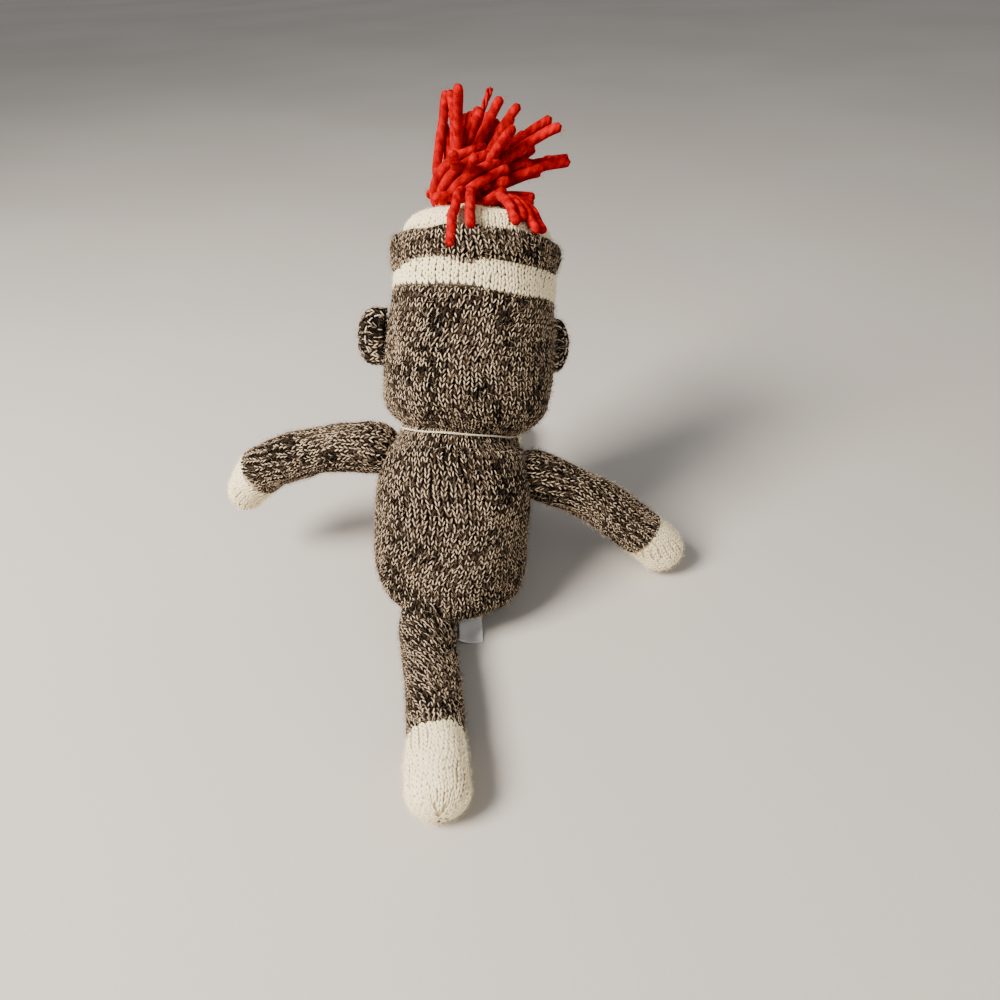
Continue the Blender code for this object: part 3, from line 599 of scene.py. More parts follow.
def curved(path):
    """A smooth curve through a few points."""
    path = np.array(path, dtype=float)
    knots = np.linspace(0, 1, len(path))
    slope = np.gradient(path, knots, axis=0)
    fine = np.linspace(0, 1, 12 * len(path))
    low = np.clip(np.searchsorted(knots, fine, side="right") - 1, 0, len(path) - 2)
    gap = knots[1]
    way = ((fine - knots[low]) / gap)[:, None]
    return (
        path[low] * (1 + 2 * way) * (1 - way) ** 2 + slope[low] * gap * way * (1 - way) ** 2
        + path[low + 1] * way**2 * (3 - 2 * way) + slope[low + 1] * gap * way**2 * (way - 1)
    )


def threads(name, paths, radius, rings, seed, segments=6, lobes=0.0):
    """Lengths of yarn, each a ball drawn out along its path and closed round at its ends.

    lobes is how far its three plies stand out, as a share of its radius.
    """
    rng = np.random.default_rng(seed)
    bpy.ops.mesh.primitive_uv_sphere_add(segments=segments, ring_count=rings, radius=1)
    ball = bpy.context.object
    mesh = ball.data
    mesh.calc_loop_triangles()
    corners = np.array([list(face.loops) for face in mesh.loop_triangles])
    loops = np.array([loop.vertex_index for loop in mesh.loops])
    faces = loops[corners]
    ball_uv = np.array([corner.uv for corner in mesh.uv_layers[0].data])[corners.ravel()]
    point = np.array([vert.co for vert in mesh.vertices])
    bpy.data.objects.remove(ball)
    around = np.arctan2(point[:, 1], point[:, 0])
    share = np.arccos(np.clip(-point[:, 2], -1, 1)) / math.pi
    way = 0.45 * share + 0.55 * (1 - np.cos(math.pi * share)) / 2
    points, uv = [], []
    for path in paths:
        path = along_path(path)
        length = np.linalg.norm(np.diff(path, axis=0), axis=1).sum()
        flat = np.linalg.svd(path - path.mean(axis=0))[2][2]
        places, stations = way * (PATH_POINTS - 1), np.arange(PATH_POINTS)
        spine = between(places, stations, path)
        flow = between(places, stations, np.gradient(path, axis=0))
        side = unit(np.cross(flow, flat))
        rise = unit(np.cross(side, flow))
        station = way * length
        ends = np.clip(np.minimum(station, length - station) / radius, 0, 1)
        size = radius * np.sqrt(1 - (1 - ends) ** 2)
        size *= 1 + lobes * np.cos(3 * around - station * 110.0 * math.tau)
        ring = side * np.cos(around)[:, None] + rise * np.sin(around)[:, None]
        points.append(spine + ring * size[:, None])
        cell = rng.integers(0, 64)
        uv.append(ball_uv * (0.98, length * 1000) + (0.01 + cell, 0))
    return from_points(name, np.array(points), faces, np.array(uv))


def thread_finish(name, dark, light, twist, roughness=0.85):
    """A two-ply thread, its colour a little uneven, and darker between its plies as painted shade.
    """
    finish, shader, at, uv = new_finish(name, roughness, 0.15)
    around, along, _ = uv.parts()
    ply = (around * 2 - along * twist).wave()
    tone = (ply * 0.22 + at.noise(700, 3) * 0.8 + 0.1).fade(0.15, 0.85)
    paint(shader, tone.mix((*dark, 1), (*light, 1)), ply + at.noise(4000), 0.00005)
    return finish


def unfilled(piece, finish, body, nodes):
    """A thread or a tape, which has one finish and no filling."""
    piece.data.materials.append(finish)
    finished(piece, body, nodes)


SEAM_TILT, SEAM_TWISTS, PLY_OFFSET = math.radians(67.5), 46, 0.00018
cream_thread = thread_finish("cream_thread", (0.62, 0.52, 0.38), (0.90, 0.80, 0.62), 1.2)
around = np.linspace(0, math.tau, 400)
rings = []
for ply in range(2):
    twist = around * SEAM_TWISTS + math.pi * ply
    reach = NECK_BALL + 0.00085 + PLY_OFFSET * np.cos(twist) + 0.00022 * np.sin(7 * around)
    tilt = SEAM_TILT + (PLY_OFFSET * np.sin(twist) + 0.00016 * np.sin(3 * around)) / NECK_BALL
    ring = np.stack([
        reach * np.sin(tilt) * np.cos(around), reach * np.sin(tilt) * np.sin(around),
        reach * np.cos(tilt),
    ], axis=1)
    rings.append(ring @ np.array(head_place)[:3, :3].T + np.array(neck_middle))
pieces = [ring[start:start + 23] for ring in rings for start in range(0, 400, 20)]
neck_thread = threads("neck_thread", pieces, 0.00020, 10, 1)
unfilled(neck_thread, cream_thread, "head", ["neck_seam_thread"])


# ---- The hat ----
# The head's tube ends in a cream band. A cuff of brown knit is rolled round it, and the
# cream crown comes out of the cuff and is gathered under the pompom.

cream, shader, at, uv = new_finish("cream_yarn", 1.0)
across, _, (first, _, _) = stitch_place(uv)
# Each cream leg is lighter in its middle and darker toward its edges as painted shade; its tone
# also changes at random.
tone = first * 0.35 + at.noise(120) * 0.4 + (1.0 - abs(across - 0.5) * 2.0) * 0.5
tone = tone.fade(0.15, 0.85).mix((0.88, 0.70, 0.40, 1), (0.98, 0.87, 0.58, 1))
paint(shader, tone, at.noise(2600, 3), 0.00005)
cream_back = back_and_shade_finish("cream_back", 0.3, 0.8, (0.68, 0.53, 0.31), (0.85, 0.71, 0.45))
# Under the cream band the back is dark brown: painted shade in the holes between its stitches.
band_back_painted_shade = back_and_shade_finish("band_back_painted_shade", 0.3, 0.8, (0.08, 0.06, 0.04), (0.30, 0.24, 0.17))
creamy = cream_back, cream, "cream_knit"

BAND_HEIGHT, CUFF_HEIGHT, CUFF_THICKNESS, CROWN_HEIGHT = 0.0064, 0.0105, 0.0018, 0.0085
CUFF_BOTTOM = HEAD_HEIGHT + BAND_HEIGHT
CUFF_TOP = CUFF_BOTTOM + CUFF_HEIGHT
CROWN_TOP = CUFF_TOP + CROWN_HEIGHT
CROWN_HALF, CROWN_FLAT = BROW_WIDTH / 2 - 0.0012, 0.0088
CROWN_FOOT = CROWN_HALF - 0.0006


def hat_skin(profile, press=None):
    """A skin from the radii and heights of a profile, as flat from front to back as the head."""
    radius, height = np.array(profile).T
    way = np.linspace(0, len(profile) - 1, 12 * len(profile))
    radius, height = (np.interp(way, np.arange(len(profile)), size) for size in (radius, height))
    return Skin(head_place, radius, radius * HEAD_FLATNESS, height, press=press)


band_skin = hat_skin([
    (BROW_WIDTH / 2 + 0.0001, HEAD_HEIGHT - 0.0010), (BROW_WIDTH / 2, CUFF_BOTTOM + 0.002),
])
knitted(
    "band", band_skin, (0, band_skin.total, 48, 8),
    (0.0005, band_skin.total, 68, 3, 0, 0.7, 0.0015),
    (0, band_skin.total - 0.002, 1.0, 103, 0.0008), (band_back_painted_shade, cream, "cream_knit"),
    "head", "hat_band",
)


def dome(turn, foot):
    """The radius and the height of the crown, from its flat top at 0 to its foot."""
    spread = CROWN_FLAT + (foot - CROWN_FLAT) * math.sin(turn)
    return spread, CUFF_TOP + CROWN_HEIGHT * math.cos(turn)


crown_skin = hat_skin([
    (CROWN_FOOT, CUFF_TOP - 0.004),
    *(dome(math.pi / 2 * (1 - step / 12), CROWN_FOOT) for step in range(13)),
    (0.0006, CROWN_TOP + 0.0002),
])
knitted(
    "crown", crown_skin, (0, crown_skin.total, 48, 40),
    (0.002, crown_skin.total - 0.002, 68, 4, 0, 0.8),
    (0.004, crown_skin.total - 0.006, 1.0, 104, 0.0008), creamy, "head", "hat_crown",
)


def rolled(x, y, z):
    """The cuff sags at its left side, is drawn tight at its right, and dips where it is tacked."""
    around = np.arctan2(y / HEAD_FLATNESS, x)
    low = (CUFF_TOP - z) / CUFF_HEIGHT
    drop = 0.0032 * np.exp(-(((around + 0.05) / 0.50) ** 2)) - 0.0006
    drop += 0.0018 * np.exp(-(((around - 1.22) / 0.14) ** 2))
    drop -= 0.0010 * np.exp(-(((around - 2.75) / 0.40) ** 2))
    drop = drop * np.clip(low, 0, 1)
    drop += 0.0018 * np.exp(-(((around - 0.35) / 0.70) ** 2)) * np.clip(1 - low, 0, 1)
    tight = 0.0012 * np.exp(-(((abs(around) - math.pi) / 0.60) ** 2))
    return x + tight, y, z - drop


cuff_profile = []
for step in range(25):
    high = step / 24
    turn = math.pi * (high * 1.16 - 0.08)
    thick = CUFF_THICKNESS + 0.0008 - 0.0006 * math.cos(turn)
    bulge = thick * np.sign(math.sin(turn)) * abs(math.sin(turn)) ** 0.7
    middle = (CUFF_TOP + CUFF_BOTTOM) / 2
    cuff_profile.append((
        CROWN_FOOT + 0.0014 * high + bulge, middle - (CUFF_HEIGHT / 2) * math.cos(turn)
    ))
cuff_skin = hat_skin(cuff_profile, rolled)
knitted(
    "cuff", cuff_skin, (0, cuff_skin.total, 64, 16),
    (0.0004, cuff_skin.total - 0.0004, 70, 5), (0.001, cuff_skin.total - 0.001, 1.7, 105),
    marled, "head", "hat_cuff",
)


# ---- The pompom ----
# Lengths of thick, soft red yarn are knotted together on a white thread and trimmed. Most
# stand up in a fan, and a few lie down over the crown and the cuff.

POMPOM_ASIDE, TIE_HEIGHT, POMPOM_WIDTH, POMPOM_HEIGHT = 0.0030, 0.0024, 0.0270, 0.0200
STRAND_LENGTH, STRAND_RADIUS, STRAND_DROOP = 0.0320, 0.00145, math.radians(28)
red, shader, at, uv = new_finish("red_yarn", 1.0)
shader.inputs["Specular IOR Level"].default_value = 0.03
around, along, _ = uv.parts()
ply = (around * 3.0 - along * 0.35).wave()
# The red is a little darker in the grooves between the plies as painted shade, and changes at
# random.
tone = (ply * 0.06 + at.noise(420, 4) * 1.1 - 0.05).fade(0.20, 0.80)
tone = tone.mix((0.19, 0.0, 0.002, 1), (0.50, 0.0, 0.004, 1))
paint(shader, tone, ply * 0.3 + at.noise(1900, 4), 0.00020)

stand = head_place @ Matrix.Translation((POMPOM_ASIDE, 0, CROWN_TOP))
core = stand @ Matrix.Translation((0, 0, TIE_HEIGHT + POMPOM_HEIGHT / 2))
knot = core @ Matrix.Translation((0, 0, -POMPOM_HEIGHT / 4))
knot = Matrix.Translation(knot.translation) @ Matrix.Rotation(math.radians(6), 4, "X")
root = stand @ Vector((0.0032, 0.0020, 0.0011))


def aimed(point, ahead, toward):
    """A frame at the point whose Z runs ahead and whose X leans toward the second direction."""
    z = Vector(ahead).normalized()
    y = z.cross(Vector(toward)).normalized()
    turn = Matrix((y.cross(z), y, z)).transposed().to_4x4()
    return Matrix.Translation(point) @ turn


def strand(lean, forward, share, droop=1.0, wobble=0.0):
    """The path of a length of yarn from the knot outward, that droops toward its end."""
    aside, ahead = (math.radians(angle) for angle in (-lean, forward))
    ahead = Matrix.Rotation(aside, 4, "Y") @ Matrix.Rotation(ahead, 4, "X") @ Vector((0, 0, 1))
    place = knot @ aimed((0, 0, 0), ahead, (ahead.x, ahead.y, -1))
    reach = STRAND_LENGTH * share
    turn = STRAND_DROOP * share * droop * np.linspace(0.001, 1, 24)
    radius = reach / turn[-1]
    side = 0.0007 * np.sin(np.linspace(0, 5, 24) + wobble) * np.linspace(0, 1, 24)
    path = np.stack([radius * (1 - np.cos(turn)), side, radius * np.sin(turn)], axis=1)
    aside = 0.0045 * min(max(1 - (lean + 5) / 25, 0), 1)
    shift = root + Vector((aside, 0, 0)) - knot.translation
    return moved(path, place) + np.array(shift) * (1 - np.linspace(0, 1, 24)[:, None]) ** 1.5


def laid_down(around, reach, curl=0.0):
    """The path of a length of yarn that lies on the crown and hangs over the cuff."""
    profile = [
        (0.0, CROWN_TOP), (CROWN_FLAT, CROWN_TOP),
        *(dome(math.pi / 2 * step / 8, CROWN_HALF) for step in range(1, 8)),
        (CROWN_HALF + 0.0030, CUFF_TOP - 0.0010), (CROWN_HALF + 0.0034, CUFF_BOTTOM),
    ]
    radius, height = np.array(profile).T
    way = np.concatenate([[0], np.cumsum(np.hypot(np.diff(radius), np.diff(height)))])
    even = np.linspace(0.002, reach, 24)
    radius, height = np.interp(even, way, radius), np.interp(even, way, height)
    angle = math.radians(around) + curl * np.sin(even / reach * 3)
    aside = POMPOM_ASIDE * (1 - even / reach) * (even < reach)
    path = np.stack([
        radius * np.cos(angle) + aside, radius * np.sin(angle) * HEAD_FLATNESS,
        height + 0.0019 + 0.0016 * np.sin(even / reach * math.pi),
    ], axis=1)
    return moved(path, head_place)


STRANDS = (
    (-4, 4, 0.88), (-2, -14, 1.03), (4, 10, 0.73), (10, -6, 0.85), (24, 12, 0.88),
    (26, -26, 0.82), (40, 4, 0.97), (42, -16, 1.06), (64, -6, 0.97), (64, 22, 1.10),
    (88, -24, 0.64), (68, 34, 0.79), (-88, -10, 0.46), (-30, 36, 0.67), (12, 42, 0.95),
    (40, 54, 0.90), (2, -50, 0.70), (58, -50, 0.58), (-18, 14, 0.66), (-14, -46, 0.72),
)
rng = np.random.default_rng(23)
strands = [strand(*values, wobble=number) for number, values in enumerate(STRANDS)]
for number in range(46):
    lean, forward = rng.uniform(-14, 74), rng.uniform(-16, 50)
    strands.append(strand(lean, forward, rng.uniform(0.46, 0.78), 0.6, number))
for number in range(12):
    lean, forward = rng.uniform(-80, 80), rng.uniform(-85, -55)
    strands.append(strand(lean, forward, rng.uniform(0.36, 0.46), 1.5, number))
strands += [
    laid_down(60, 0.0385, 0.03), laid_down(72, 0.0330, -0.03), laid_down(114, 0.0315, 0.05),
    laid_down(108, 0.0265, 0.04), laid_down(102, 0.0290, -0.04), laid_down(122, 0.0300, 0.05),
]
for points in (
    ((0.0118, 0.0049, -0.0011), (0.0136, 0.0081, 0.0027), (0.0125, 0.0099, 0.0072),
     (0.0088, 0.0104, 0.0116), (0.0042, 0.0104, 0.0146), (-0.0010, 0.0095, 0.0171)),
    ((0.0095, 0.0057, -0.0012), (0.0116, 0.0088, 0.0017), (0.0106, 0.0113, 0.0052),
     (0.0072, 0.0123, 0.0091), (0.0029, 0.0122, 0.0121), (-0.0017, 0.0111, 0.0146)),
    ((0.0074, 0.0064, -0.0016), (0.0093, 0.0097, 0.0008), (0.0080, 0.0123, 0.0037),
     (0.0046, 0.0134, 0.0070), (0.0003, 0.0133, 0.0100), (-0.0046, 0.0123, 0.0128)),
    ((0.0054, 0.0070, -0.0018), (0.0064, 0.0106, 0.0001), (0.0048, 0.0129, 0.0027),
     (0.0014, 0.0141, 0.0054), (-0.0029, 0.0140, 0.0084), (-0.0072, 0.0134, 0.0110)),
    ((0.0076, 0.0006, 0.0016), (0.0112, 0.0008, 0.0072), (0.0117, 0.0006, 0.0149),
     (0.0107, -0.0006, 0.0255), (0.0102, -0.0017, 0.0345)),
    ((0.0046, 0.0080, -0.0020), (0.0010, 0.0125, -0.0008), (-0.0031, 0.0144, 0.0019),
     (-0.0066, 0.0140, 0.0048)),
    ((0.0065, 0.0105, 0.0012), (0.0108, 0.0125, 0.0004), (0.0148, 0.0125, -0.0008)),
    ((0.0004, 0.0072, 0.0004), (-0.0038, 0.0109, -0.0015), (-0.0092, 0.0138, -0.0030),
     (-0.0156, 0.0161, -0.0048)),
    ((-0.0010, 0.0064, 0.0017), (-0.0057, 0.0101, 0.0007), (-0.0106, 0.0129, -0.0006),
     (-0.0156, 0.0148, -0.0031)),
    ((-0.0020, 0.0070, 0.0034), (-0.0081, 0.0095, 0.0040), (-0.0122, 0.0114, 0.0030),
     (-0.0163, 0.0121, 0.0025)),
    ((-0.0030, 0.0050, 0.0080), (-0.0084, 0.0083, 0.0119), (-0.0114, 0.0111, 0.0137),
     (-0.0149, 0.0122, 0.0134)),
):
    strands.append(np.array([stand @ Vector(point) for point in curved(points)]))
pompom = threads("pompom", strands, STRAND_RADIUS, 22, 2, 12, 0.05)

bpy.ops.mesh.primitive_uv_sphere_add(segments=32, ring_count=20, radius=1)
heart = bpy.context.object
for vert in heart.data.vertices:
    size = Vector((POMPOM_WIDTH * 0.30, POMPOM_WIDTH * 0.26, POMPOM_HEIGHT * 0.36))
    vert.co = core @ Vector(a * b for a, b in zip(vert.co, size))


def strand_fuzz(name, paths, radius, count, seed):
    """Loose fibres round lengths of yarn, this many on each."""
    rng = np.random.default_rng(seed)
    points = []
    for path in paths:
        path = along_path(path)
        flow = unit(np.gradient(path, axis=0))
        place = rng.integers(0, PATH_POINTS, count)
        out = unit(np.cross(flow[place], rng.normal(size=(count, 3))))
        drift = rng.normal(size=(count, 3)) * 0.0006
        drift = drift + flow[place] * rng.uniform(-1, 1, (count, 1)) * 0.0006
        way = (np.arange(4) / 3)[None, :, None]
        high = rng.uniform(0.2, 1, (count, 1, 1)) * 0.0009
        spine = path[place][:, None] + out[:, None] * (radius * 0.9 + high * way)
        points.append(ribbons(spine + drift[:, None] * way**1.5, rng))
    return fibres(name, points, rng)


pompom_fuzz = strand_fuzz("pompom_fuzz", strands, STRAND_RADIUS, 170, 106)
wisps = []
for points in (
    ((0.0013, 0.0002, 0.0183), (-0.0002, 0.0004, 0.0272), (-0.0020, 0.0001, 0.0334),
     (-0.0032, 0.0000, 0.0374)),
    ((-0.0126, 0.0059, 0.0162), (-0.0173, 0.0073, 0.0163), (-0.0222, 0.0085, 0.0182)),
):
    for ply in range(3):
        wisp = []
        for way, point in zip(np.linspace(0, 1, 12 * len(points)), curved(points)):
            turn = 9 * way + 2.1 * ply
            twist = Vector((0.0005 * math.sin(turn), 0.0005 * math.cos(turn), 0))
            wisp.append(stand @ (Vector(point) + twist * (0.6 + way)))
        wisps.append(np.array(wisp))
wisp_yarn = threads("pompom_wisps", wisps, 0.0005, 12, 3)
pompom = joined(heart, red, red, pompom, wisp_yarn, pompom_fuzz)
pompom.name = "pompom_yarn"
finished(pompom, "head", ["pompom"])

white_thread = thread_finish("white_thread", (0.66, 0.64, 0.60), (0.90, 0.88, 0.84), 1.5)
coils = []
for wrap in range(4):
    around = np.linspace(0, math.tau * 1.02, 60)
    reach = 0.0046 + 0.00025 * np.sin(2 * around + wrap)
    coils.append([
        stand @ Vector((r * math.cos(a), r * math.sin(a), 0.0006 + 0.00035 * wrap + 0.00006 * a))
        for a, r in zip(around, reach)
    ])
for points in (
    ((0.0046, 0.0093, -0.0016), (0.0054, 0.0104, 0.0008), (0.0061, 0.0097, 0.0042)),
    ((0.0046, 0.0093, -0.0016), (0.0045, 0.0118, 0.0003), (0.0028, 0.0122, 0.0013)),
):
    coils.append([stand @ Vector(point) for point in curved(points)])
tie = threads("tie_thread", coils, 0.00028, 24, 3)
unfilled(tie, white_thread, "head", ["pompom_tie"])


# ---- The ears ----
# Each ear is a small half-round pad of the same knit, topstitched once round its edge and
# sewn to the side of the head along its straight edge.

EAR_HEIGHT, EAR_REACH, EAR_THICKNESS, EAR_OUTSET = 0.0174, 0.0085, 0.0052, 0.0008
for side, sign, lift in (("left", 1, 0.0273), ("right", -1, 0.0303)):
    hinge = head_spot(lift, sign * math.radians(86), EAR_OUTSET)
    hinge = hinge @ Matrix.Rotation(-sign * math.radians(10), 4, "Z")
    outward = hinge @ Matrix(((0, 0, 1, 0), (0, -1, 0, 0), (1, 0, 0, 0), (0, 0, 0, 1)))
    reach = EAR_REACH - EAR_OUTSET
    tall, thick = ([(-0.002, size), (reach, size)] for size in (EAR_HEIGHT, EAR_THICKNESS))
    ear_skin = stuffed(outward, tall, thick, -0.001, reach, 0, 0.66 * reach)
    ear = side + "_ear"
    knitted(
        ear, ear_skin, (0, ear_skin.total, 32, 14),
        (0, ear_skin.total - 0.0004, 17, 6 + sign, 0, 0.8),
        (0, ear_skin.total, 1.7, 107 + sign), marled, ear, ear,
    )
    stitches = []
    for face in (1, -1):
        for dash in range(6):
            turn = math.pi * ((dash + np.linspace(0.08, 0.86, 8)) / 6)
            up, out = 0.72 * EAR_HEIGHT / 2 * np.cos(turn), 0.70 * reach * np.sin(turn) ** 0.7
            hold = np.sqrt(np.clip(1 - (up / EAR_HEIGHT * 2) ** 2 - (out / reach) ** 2, 0, 1))
            lift_off = 0.0004 * np.sin(np.linspace(0, math.pi, 8)) + 0.0005
            deep = face * (EAR_THICKNESS / 2 * hold + lift_off)
            stitches.append([outward @ Vector(point) for point in zip(up, deep, out)])
    ear_thread = threads(ear + "_thread", stitches, 0.00020, 8, 5)
    unfilled(ear_thread, cream_thread, ear, None)


# ---- The face ----
# The muzzle is a stuffed cap of cream knit, sewn on over its edge. The mouth, the eyes and the
# nostrils are satin stitches: threads laid side by side, pulled tight over the filling.

MUZZLE_BULGE, MUZZLE_WIDTH, MUZZLE_HEIGHT, MUZZLE_LIFT = 0.0100, 0.0330, 0.0230, 0.0135
muzzle_spot = head_spot(MUZZLE_LIFT, 0)
half = MUZZLE_HEIGHT / 2
span = [(-half, 2 * MUZZLE_BULGE), (half, 2 * MUZZLE_BULGE)]
breadth = [(-half, MUZZLE_WIDTH), (half, MUZZLE_WIDTH)]
muzzle_skin = stuffed(muzzle_spot, span, breadth, -half, half, half, half)
front = (math.radians(-110), math.radians(110))
knitted(
    "muzzle", muzzle_skin, (0, muzzle_skin.total, 40, 24),
    (0.0006, muzzle_skin.total - 0.0006, 36, 8, 0, 0.8, COURSE, front),
    (0.001, muzzle_skin.total - 0.001, 0.9, 109, 0.0008), creamy, "head", "muzzle",
)


def on_muzzle(y, z, lift):
    """A point over the muzzle, from its middle to the left and up."""
    hold = 1 - (2 * y / MUZZLE_WIDTH) ** 2 - (2 * z / MUZZLE_HEIGHT) ** 2
    return muzzle_spot @ Vector((MUZZLE_BULGE * math.sqrt(max(hold, 0)) + lift, y, z))


edging = []
for number in range(44):
    turn = math.tau * number / 44
    path = []
    for way in np.linspace(0, 1, 8):
        size = 0.955 + 0.10 * way
        y = size * MUZZLE_WIDTH / 2 * math.cos(turn + 0.05 * way)
        z = size * MUZZLE_HEIGHT / 2 * math.sin(turn + 0.05 * way)
        around = math.asin(max(-1, min(1, y / (HEAD_WIDTH / 2))))
        base = head_spot(MUZZLE_LIFT + z, around, 0.0002).translation
        over = on_muzzle(y, z, 0.0)
        blend = max(0.0, 1 - way * 2)
        point = base.lerp(over, blend) if size < 1 else base
        normal = (point - muzzle_spot @ Vector((-0.010, 0, 0))).normalized()
        path.append(point + normal * (0.0003 + 0.0005 * math.sin(math.pi * way)))
    edging.append(path)
edge_thread = threads("muzzle_edging", edging, 0.00024, 8, 6)
unfilled(edge_thread, cream_thread, "head", None)


def satin_stitch(y, low, high, lift, rise, power=1.0):
    """A stitch that runs up the muzzle and stands out in its middle."""
    return [
        on_muzzle(y, z, lift + rise * math.sin(math.pi * way) ** power)
        for way, z in zip(np.linspace(0, 1, 8), np.linspace(low, high, 8))
    ]


red_thread = thread_finish("red_thread", (0.30, 0.002, 0.004), (0.62, 0.012, 0.014), 1.4, 0.6)
MOUTH_WIDTH, MOUTH_HEIGHT = 0.0210, 0.0075
lips = []
for number in range(40):
    y = MOUTH_WIDTH / 2 * ((number + 0.5) / 20 - 1)
    tall = MOUTH_HEIGHT / 2 * (1 - (2 * y / MOUTH_WIDTH) ** 2) ** 0.6
    line = -0.0014 * (1 - (2 * y / MOUTH_WIDTH) ** 2)
    for low, high in ((line - tall, line - 0.00015), (line + 0.00015, line + tall * 0.85)):
        lips.append(satin_stitch(y, low, high, 0.0002, 0.0010, 0.6))
mouth = threads("mouth_stitches", lips, 0.00036, 8, 7)
unfilled(mouth, red_thread, "head", ["mouth"])

black_thread = thread_finish(
    "black_thread", (0.004, 0.004, 0.004), (0.030, 0.028, 0.027), 1.4, 0.45
)
nostrils = [
    satin_stitch(sign * (0.0019 + 0.00042 * number), 0.0052, 0.0076, 0.0003, 0.0005)
    for sign in (1, -1) for number in range(3)
]
nose = threads("nostril_stitches", nostrils, 0.00028, 8, 8)
unfilled(nose, black_thread, "head", None)

EYE_WIDTH, EYE_BULGE, EYE_REACH = 0.0052, 0.0018, 0.0028
for side, sign in (("left", 1), ("right", -1)):
    spot = head_spot(0.0305, math.asin(sign * 0.0125 / (HEAD_WIDTH / 2)))
    stitches = []
    for number in range(11):
        y = EYE_WIDTH / 2 * ((number + 0.5) / 5.5 - 1)
        tall = EYE_WIDTH / 2 * math.sqrt(1 - (2 * y / EYE_WIDTH) ** 2) * 1.06
        stitch = []
        for z in np.linspace(-tall, tall, 12):
            hold = math.sqrt(max(1 - (y * y + z * z) / EYE_REACH**2, 0))
            stitch.append(spot @ Vector((0.0002 + (EYE_BULGE - 0.0005) * hold, y, z)))
        stitches.append(stitch)
    eye = threads(side + "_eye_stitches", stitches, 0.00034, 12, 9 + sign)
    unfilled(eye, black_thread, "head", [side + "_eye"])
    glint = []
    for way in np.linspace(0, 1, 8):
        out = EYE_BULGE * 0.80 + 0.0004 * math.sin(math.pi * way)
        glint.append(spot @ Vector((out, 0.0006, 0.0003 + 0.0010 * way)))
    dot = threads(side + "_eye_glint", [glint], 0.00024, 8, 12)
    unfilled(dot, white_thread, "head", None)


# ---- The arms, legs and tail ----
# Each is a narrow stuffed tube with a cream end, sewn to the body at its gathered root.
# The knit of the tail has turned a little about its length.


def make_limb(
    name, tip, place, keys, length, bend, tip_length, root, wales, seed, twist=0.0, press=None
):
    """A limb on the body of its name; its keys are distances from its root and widths there."""
    skin = stuffed(place, keys, keys, -root, length, root, keys[-1][1] * 0.42, bend, length, press)
    change = np.interp(length - tip_length, skin.height, skin.along)
    knitted(
        name, skin, (0, change, 28, 40), (0.002, change, wales, seed, twist),
        (0.004, change, 1.7, seed + 100), marled, name, name,
    )
    knitted(
        tip, skin, (change - 0.0005, skin.total, 28, 20),
        (change + 0.0002, skin.total - 0.0004, wales, seed + 1, twist * 0.2, 0.36),
        (change, skin.total, 1.7, seed + 101, 0.0012), creamy, name, tip,
    )


def drooping(x, y, z):
    """The hand hangs a little more than the arm."""
    return x + 0.0040 * np.clip((z - 0.042) / 0.022, 0, 1) ** 2, y, z


arm_keys = [(-0.008, 0.0166), (0.0040, 0.0160), (0.0140, 0.0148), (0.0320, 0.0158)]
make_limb(
    "left_arm", "left_hand", aimed(joints["left_shoulder_raise"], (1, -0.24, -0.01), (0, 0, -1)),
    [*arm_keys, (0.0480, 0.0158), (0.0600, 0.0128)], 0.0645, math.radians(47), 0.0186,
    ARM_ROOT, 22, 20, press=drooping,
)
make_limb(
    "right_arm", "right_hand",
    aimed(joints["right_shoulder_raise"], (-0.92, 0.02, -0.405), (0, 0, -1)),
    [*arm_keys, (0.0475, 0.0156), (0.0560, 0.0158)], 0.0640, math.radians(32), 0.0184,
    ARM_ROOT, 22, 22,
)
leg_keys = [(0, 0.0176), (0.01248, 0.0154), (0.0390, 0.0166), (0.0560, 0.0160), (0.0660, 0.0173)]
for side, sign in (("left", 1), ("right", -1)):
    ahead = (sign * math.sin(math.radians(4)), -math.cos(math.radians(4)), 0)
    make_limb(
        side + "_leg", side + "_foot", aimed(joints[side + "_hip_raise"], ahead, (0, 0, 1)),
        leg_keys, 0.0780, 0.0, 0.0210, LEG_ROOT, 24, 26 + 2 * sign,
    )


def sewn_high(x, y, z):
    """The tail is high where it is sewn up the body's back, and its end lies a little aside."""
    rise = 1 - np.clip((z + 0.004) / 0.016, 0, 1)
    aside = -0.0013 * np.clip((z - 0.004) / 0.030, 0, 1)
    return np.where(x > 0, x * (1 + 0.50 * rise * rise * (3 - 2 * rise)), x), y + aside, z


tail_keys = [(0, 0.0180), (0.01032, 0.0164), (0.03225, 0.0164), (0.0400, 0.0160), (0.0490, 0.0172)]
tail_ahead = (-math.sin(math.radians(4)), math.cos(math.radians(4)), 0)
make_limb(
    "tail", "tail_tip", aimed(joints["tail_lift"], tail_ahead, (0, 0, 1)),
    tail_keys, 0.0645, 0.0, 0.0240, TAIL_ROOT, 24, 30, -8.0, sewn_high,
)


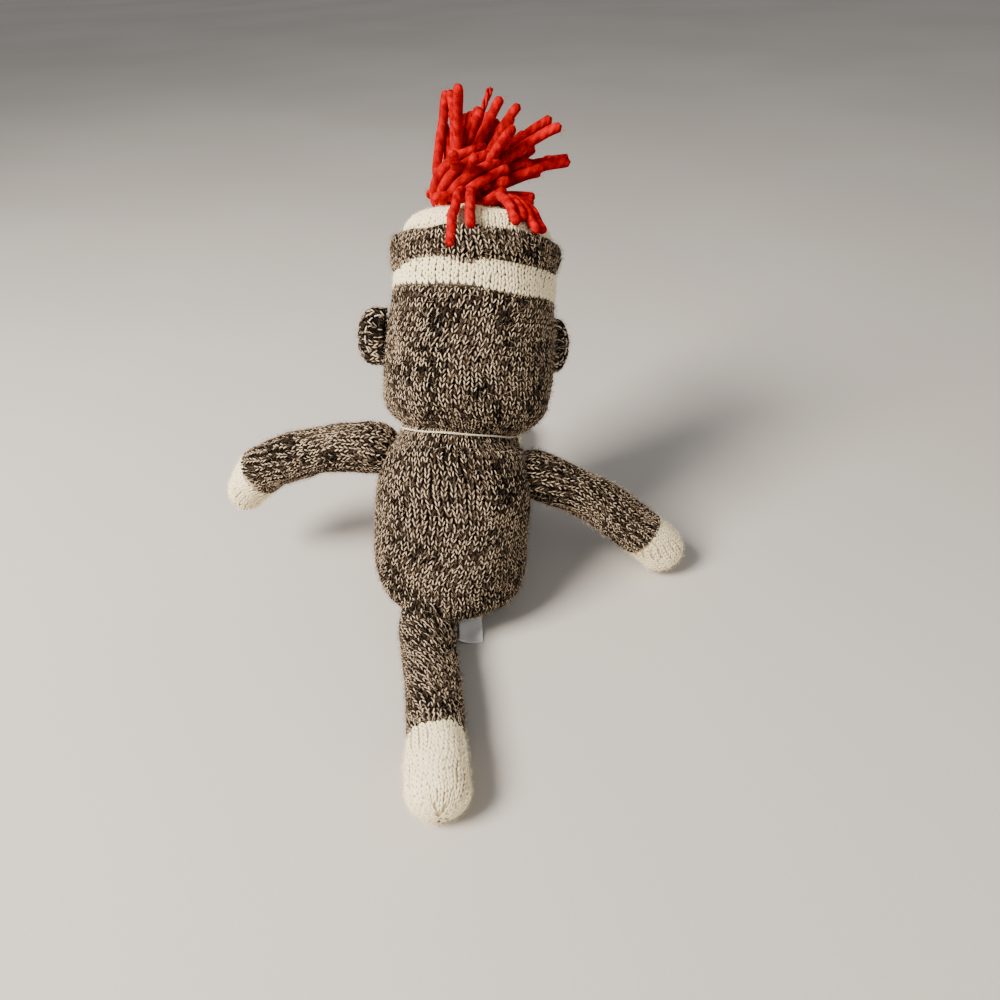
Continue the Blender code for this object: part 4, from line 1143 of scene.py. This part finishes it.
# ---- The label ----
# A blank tab of white satin tape is caught in the seam under the seat, and its loose end
# lies on the floor beside the tail.

LABEL_WIDTH, LABEL_LENGTH, LABEL_RISE = 0.0078, 0.0100, 0.0045
LABEL_TURN, LABEL_THICKNESS = math.radians(93), 0.00035
satin, shader, at, uv = new_finish("satin_tape", 0.38)
shader.inputs["Specular IOR Level"].default_value = 0.5
across, along, _ = uv.parts()
weave = (along * 60.0).wave() * 0.5 + (across * 44.0).wave() * 0.5
selvedge = abs(across - 0.5).fade(0.42, 0.46)
tone = (at.noise(500, 3) * 0.7 + selvedge * 0.3).mix((0.80, 0.79, 0.77, 1), (0.92, 0.91, 0.90, 1))
paint(shader, tone, weave + selvedge * 1.5, 0.00004)
bpy.ops.mesh.primitive_grid_add(x_subdivisions=28, y_subdivisions=16, size=1)
label = bpy.context.object
label.name = "label"
label_turn = Matrix.Rotation(LABEL_TURN, 4, "Z")
label_place = Matrix.Translation((-0.0030, 0.0172, 0.0003)) @ label_turn
for vert in label.data.vertices:
    way, side = vert.co.x + 0.5, vert.co.y
    curl = 0.0022 * way**2 * max(-side, 0) ** 2 * 4 + 0.00012 * math.sin(9 * way + 4 * side)
    vert.co = label_place @ Vector((
        LABEL_LENGTH * way, LABEL_WIDTH * side,
        LABEL_RISE * (1 - way) ** 2 + 0.0003 + curl,
    ))
bpy.ops.object.modifier_add(type="SOLIDIFY")
label.modifiers["Solidify"].thickness = LABEL_THICKNESS
bpy.ops.object.modifier_apply(modifier="Solidify")
unfilled(label, satin, "torso", ["care_label"])


# ---- The filling ----
# The head, each limb and the tail turn on a wad of polyester filling, half of it in the body.

filling, shader, at, uv = new_finish("filling", 1.0, 0.3)
tone = at.noise(260, 4).fade(0.3, 0.7).mix((0.70, 0.69, 0.66, 1), (0.88, 0.87, 0.84, 1))
paint(shader, tone, at.noise(900, 5), 0.0004)
for name in ("neck", "left_arm", "right_arm", "left_leg", "right_leg", "tail"):
    wad = bpy.data.objects[name + "_stuffing"]
    wad.data.materials.clear()
    wad.data.materials.append(filling)
